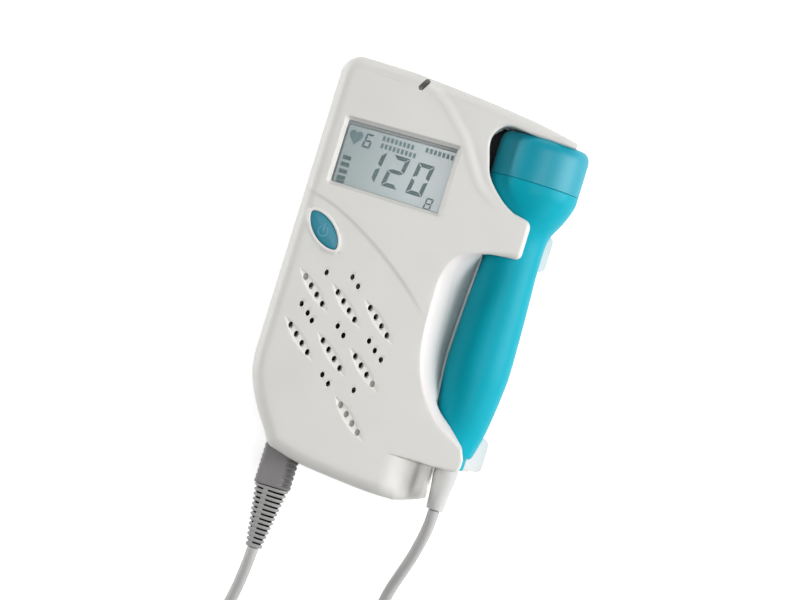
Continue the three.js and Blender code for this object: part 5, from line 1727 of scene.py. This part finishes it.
# %% Finishes for the parts inside
milky = grained("milky", srgb(226, 228, 222), 0.4, tint=0.02, bump=0.01, subsurface=0.2)
black_plastic = grained("black_plastic", srgb(38, 38, 40), 0.55, tint=0.08, bump=0.03)
foam_grey = grained("foam_grey", srgb(72, 72, 74), 0.95, tint=0.2, grain=3500, bump=0.3, specular=0.2)
cell_sleeve = grained("cell_sleeve", srgb(84, 88, 96), 0.35, tint=0.06, bump=0.01, coat=0.4)
finishes = {
    "lcd_panel": liquid_crystal, "display_window": clear_sheet, "lcd_backlight": milky,
    "indicator_lamp": milky, "main_board": solder_mask, "probe_board": solder_mask,
    "control_chip": black_plastic, "sound_chip": black_plastic, "power_switch": black_plastic,
    "cord_socket": black_plastic, "speaker_cone": paper_cone, "speaker_gasket": foam_grey,
    "crystal_backing": foam_grey, "speaker_frame": steel, "speaker_magnet": magnet_grey,
    "battery_contact_1": steel, "battery_contact_2": steel, "plug_nose": steel,
    "crystal_1": crystal_metal, "crystal_2": crystal_metal, "case_screw_1": steel, "case_screw_2": steel,
    "case_screw_3": steel, "case_screw_4": steel, "battery_1": cell_sleeve, "battery_2": cell_sleeve,
    "battery_3": cell_sleeve,
}
for name, material in finishes.items():
    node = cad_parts[name]
    if node.material_slots:
        for slot in node.material_slots:
            slot.material = material
    else:
        node.data.materials.append(material)
print("finished nodes:", len(finishes))

# %% [markdown]
# ## The battery door
# The door is a plate in the back with a grip for a finger. It could be a part of the rear shell's mesh, but
# it tilts open, so it is a piece of its own on a body of its own, made like the rear shell from its solid.

# %% Battery door
door = dress(softened("battery_door", "battery_door_moulded", bevel=0.2), "door", "shell", back_white,
             "battery_door")
print("door:", len(door.data.polygons), "faces")

# %% [markdown]
# ## The floor
# The unit lies on white paper that fills the picture. A world colour alone would make the background white
# but catch no shadow. So there is a floor, which takes the soft shadow, and it adds a little light of its
# own, for camera, mirror and glass rays only, which makes it white without lighting the unit from below.

# %% Floor
floor_half, floor_z = 1500, -0.05
floor_points = [(x * floor_half, y * floor_half, floor_z) for x, y in ((-1, -1), (1, -1), (1, 1), (-1, 1))]
floor = make_mesh("floor", floor_points, [(0, 1, 2, 3)])
paper = bpy.data.materials.new("backdrop_paper")
paper.use_nodes = True
shader = set_inputs(principled(paper), Base_Color=(0.9, 0.9, 0.9, 1), Roughness=0.9,
                    Specular_IOR_Level=0.1)
glow = add_node(paper, "Emission", Color=(1, 1, 1, 1))
seen, both = add_node(paper, "LightPath"), add_node(paper, "AddShader")


def maths(operation):
    node = add_node(paper, "Math")
    node.operation = operation
    return node


any_view, more, strength = maths("ADD"), maths("ADD"), maths("MULTIPLY")
more.use_clamp = True
strength.inputs[1].default_value = 0.52
for wire in ((seen, "Is Camera Ray", any_view, 0), (seen, "Is Glossy Ray", any_view, 1),
             (any_view, "Value", more, 0), (seen, "Is Transmission Ray", more, 1),
             (more, "Value", strength, 0), (strength, "Value", glow, "Strength"),
             (shader, "BSDF", both, 0), (glow, "Emission", both, 1),
             (both, "Shader", paper.node_tree.nodes["Material Output"], "Surface")):
    link(paper, *wire)
floor.data.materials.append(paper)
print("floor:", 2 * floor_half, "mm wide")

# %% [markdown]
# ## The light
# The photograph's light comes mostly from the right and from low down: the probe is bright on its right
# and deep blue on its left, while the flat face stays an even pale grey. One sun lamp would light it all
# from one side with hard shadows. So two tall softboxes stand at the right, one low and one higher, one
# hangs overhead for the face, and weak ones at the left, the top and the foot keep the rims from going
# dark. The white surrounding is kept dim, which leaves the bay's shadows deep.

# %% Lights
world = bpy.data.worlds.new("studio")
bpy.context.scene.world = world
world.use_nodes = True
set_inputs(world.node_tree.nodes["Background"], Color=(1, 1, 1, 1), Strength=0.07)


def softbox(name, place, width, height, watts):
    """A rectangular lamp that points at the middle of the unit."""
    data = bpy.data.lights.new(name, "AREA")
    data.shape = "RECTANGLE"
    data.size, data.size_y, data.energy = width, height, watts
    lamp = bpy.data.objects.new(name, data)
    lamp.location = place
    lamp.rotation_euler = (-Vector(place)).to_track_quat("-Z", "Y").to_euler()
    bpy.context.scene.collection.objects.link(lamp)


softbox("side", (1.35, 0.1, 0.3), 0.3, 1.2, 12.5)
softbox("key", (1.1, 0.25, 0.65), 0.35, 1.1, 5.2)
softbox("overhead", (0.2, 0.0, 1.3), 0.6, 0.6, 5.5)
softbox("low_left", (-1.25, 0.1, 0.26), 1.2, 0.3, 10.6)
softbox("low_top", (0.0, 1.3, 0.35), 1.0, 0.3, 4.0)
softbox("foot", (0.9, -0.7, 0.6), 0.5, 0.8, 2.8)
bpy.context.scene.view_settings.view_transform = "Standard"
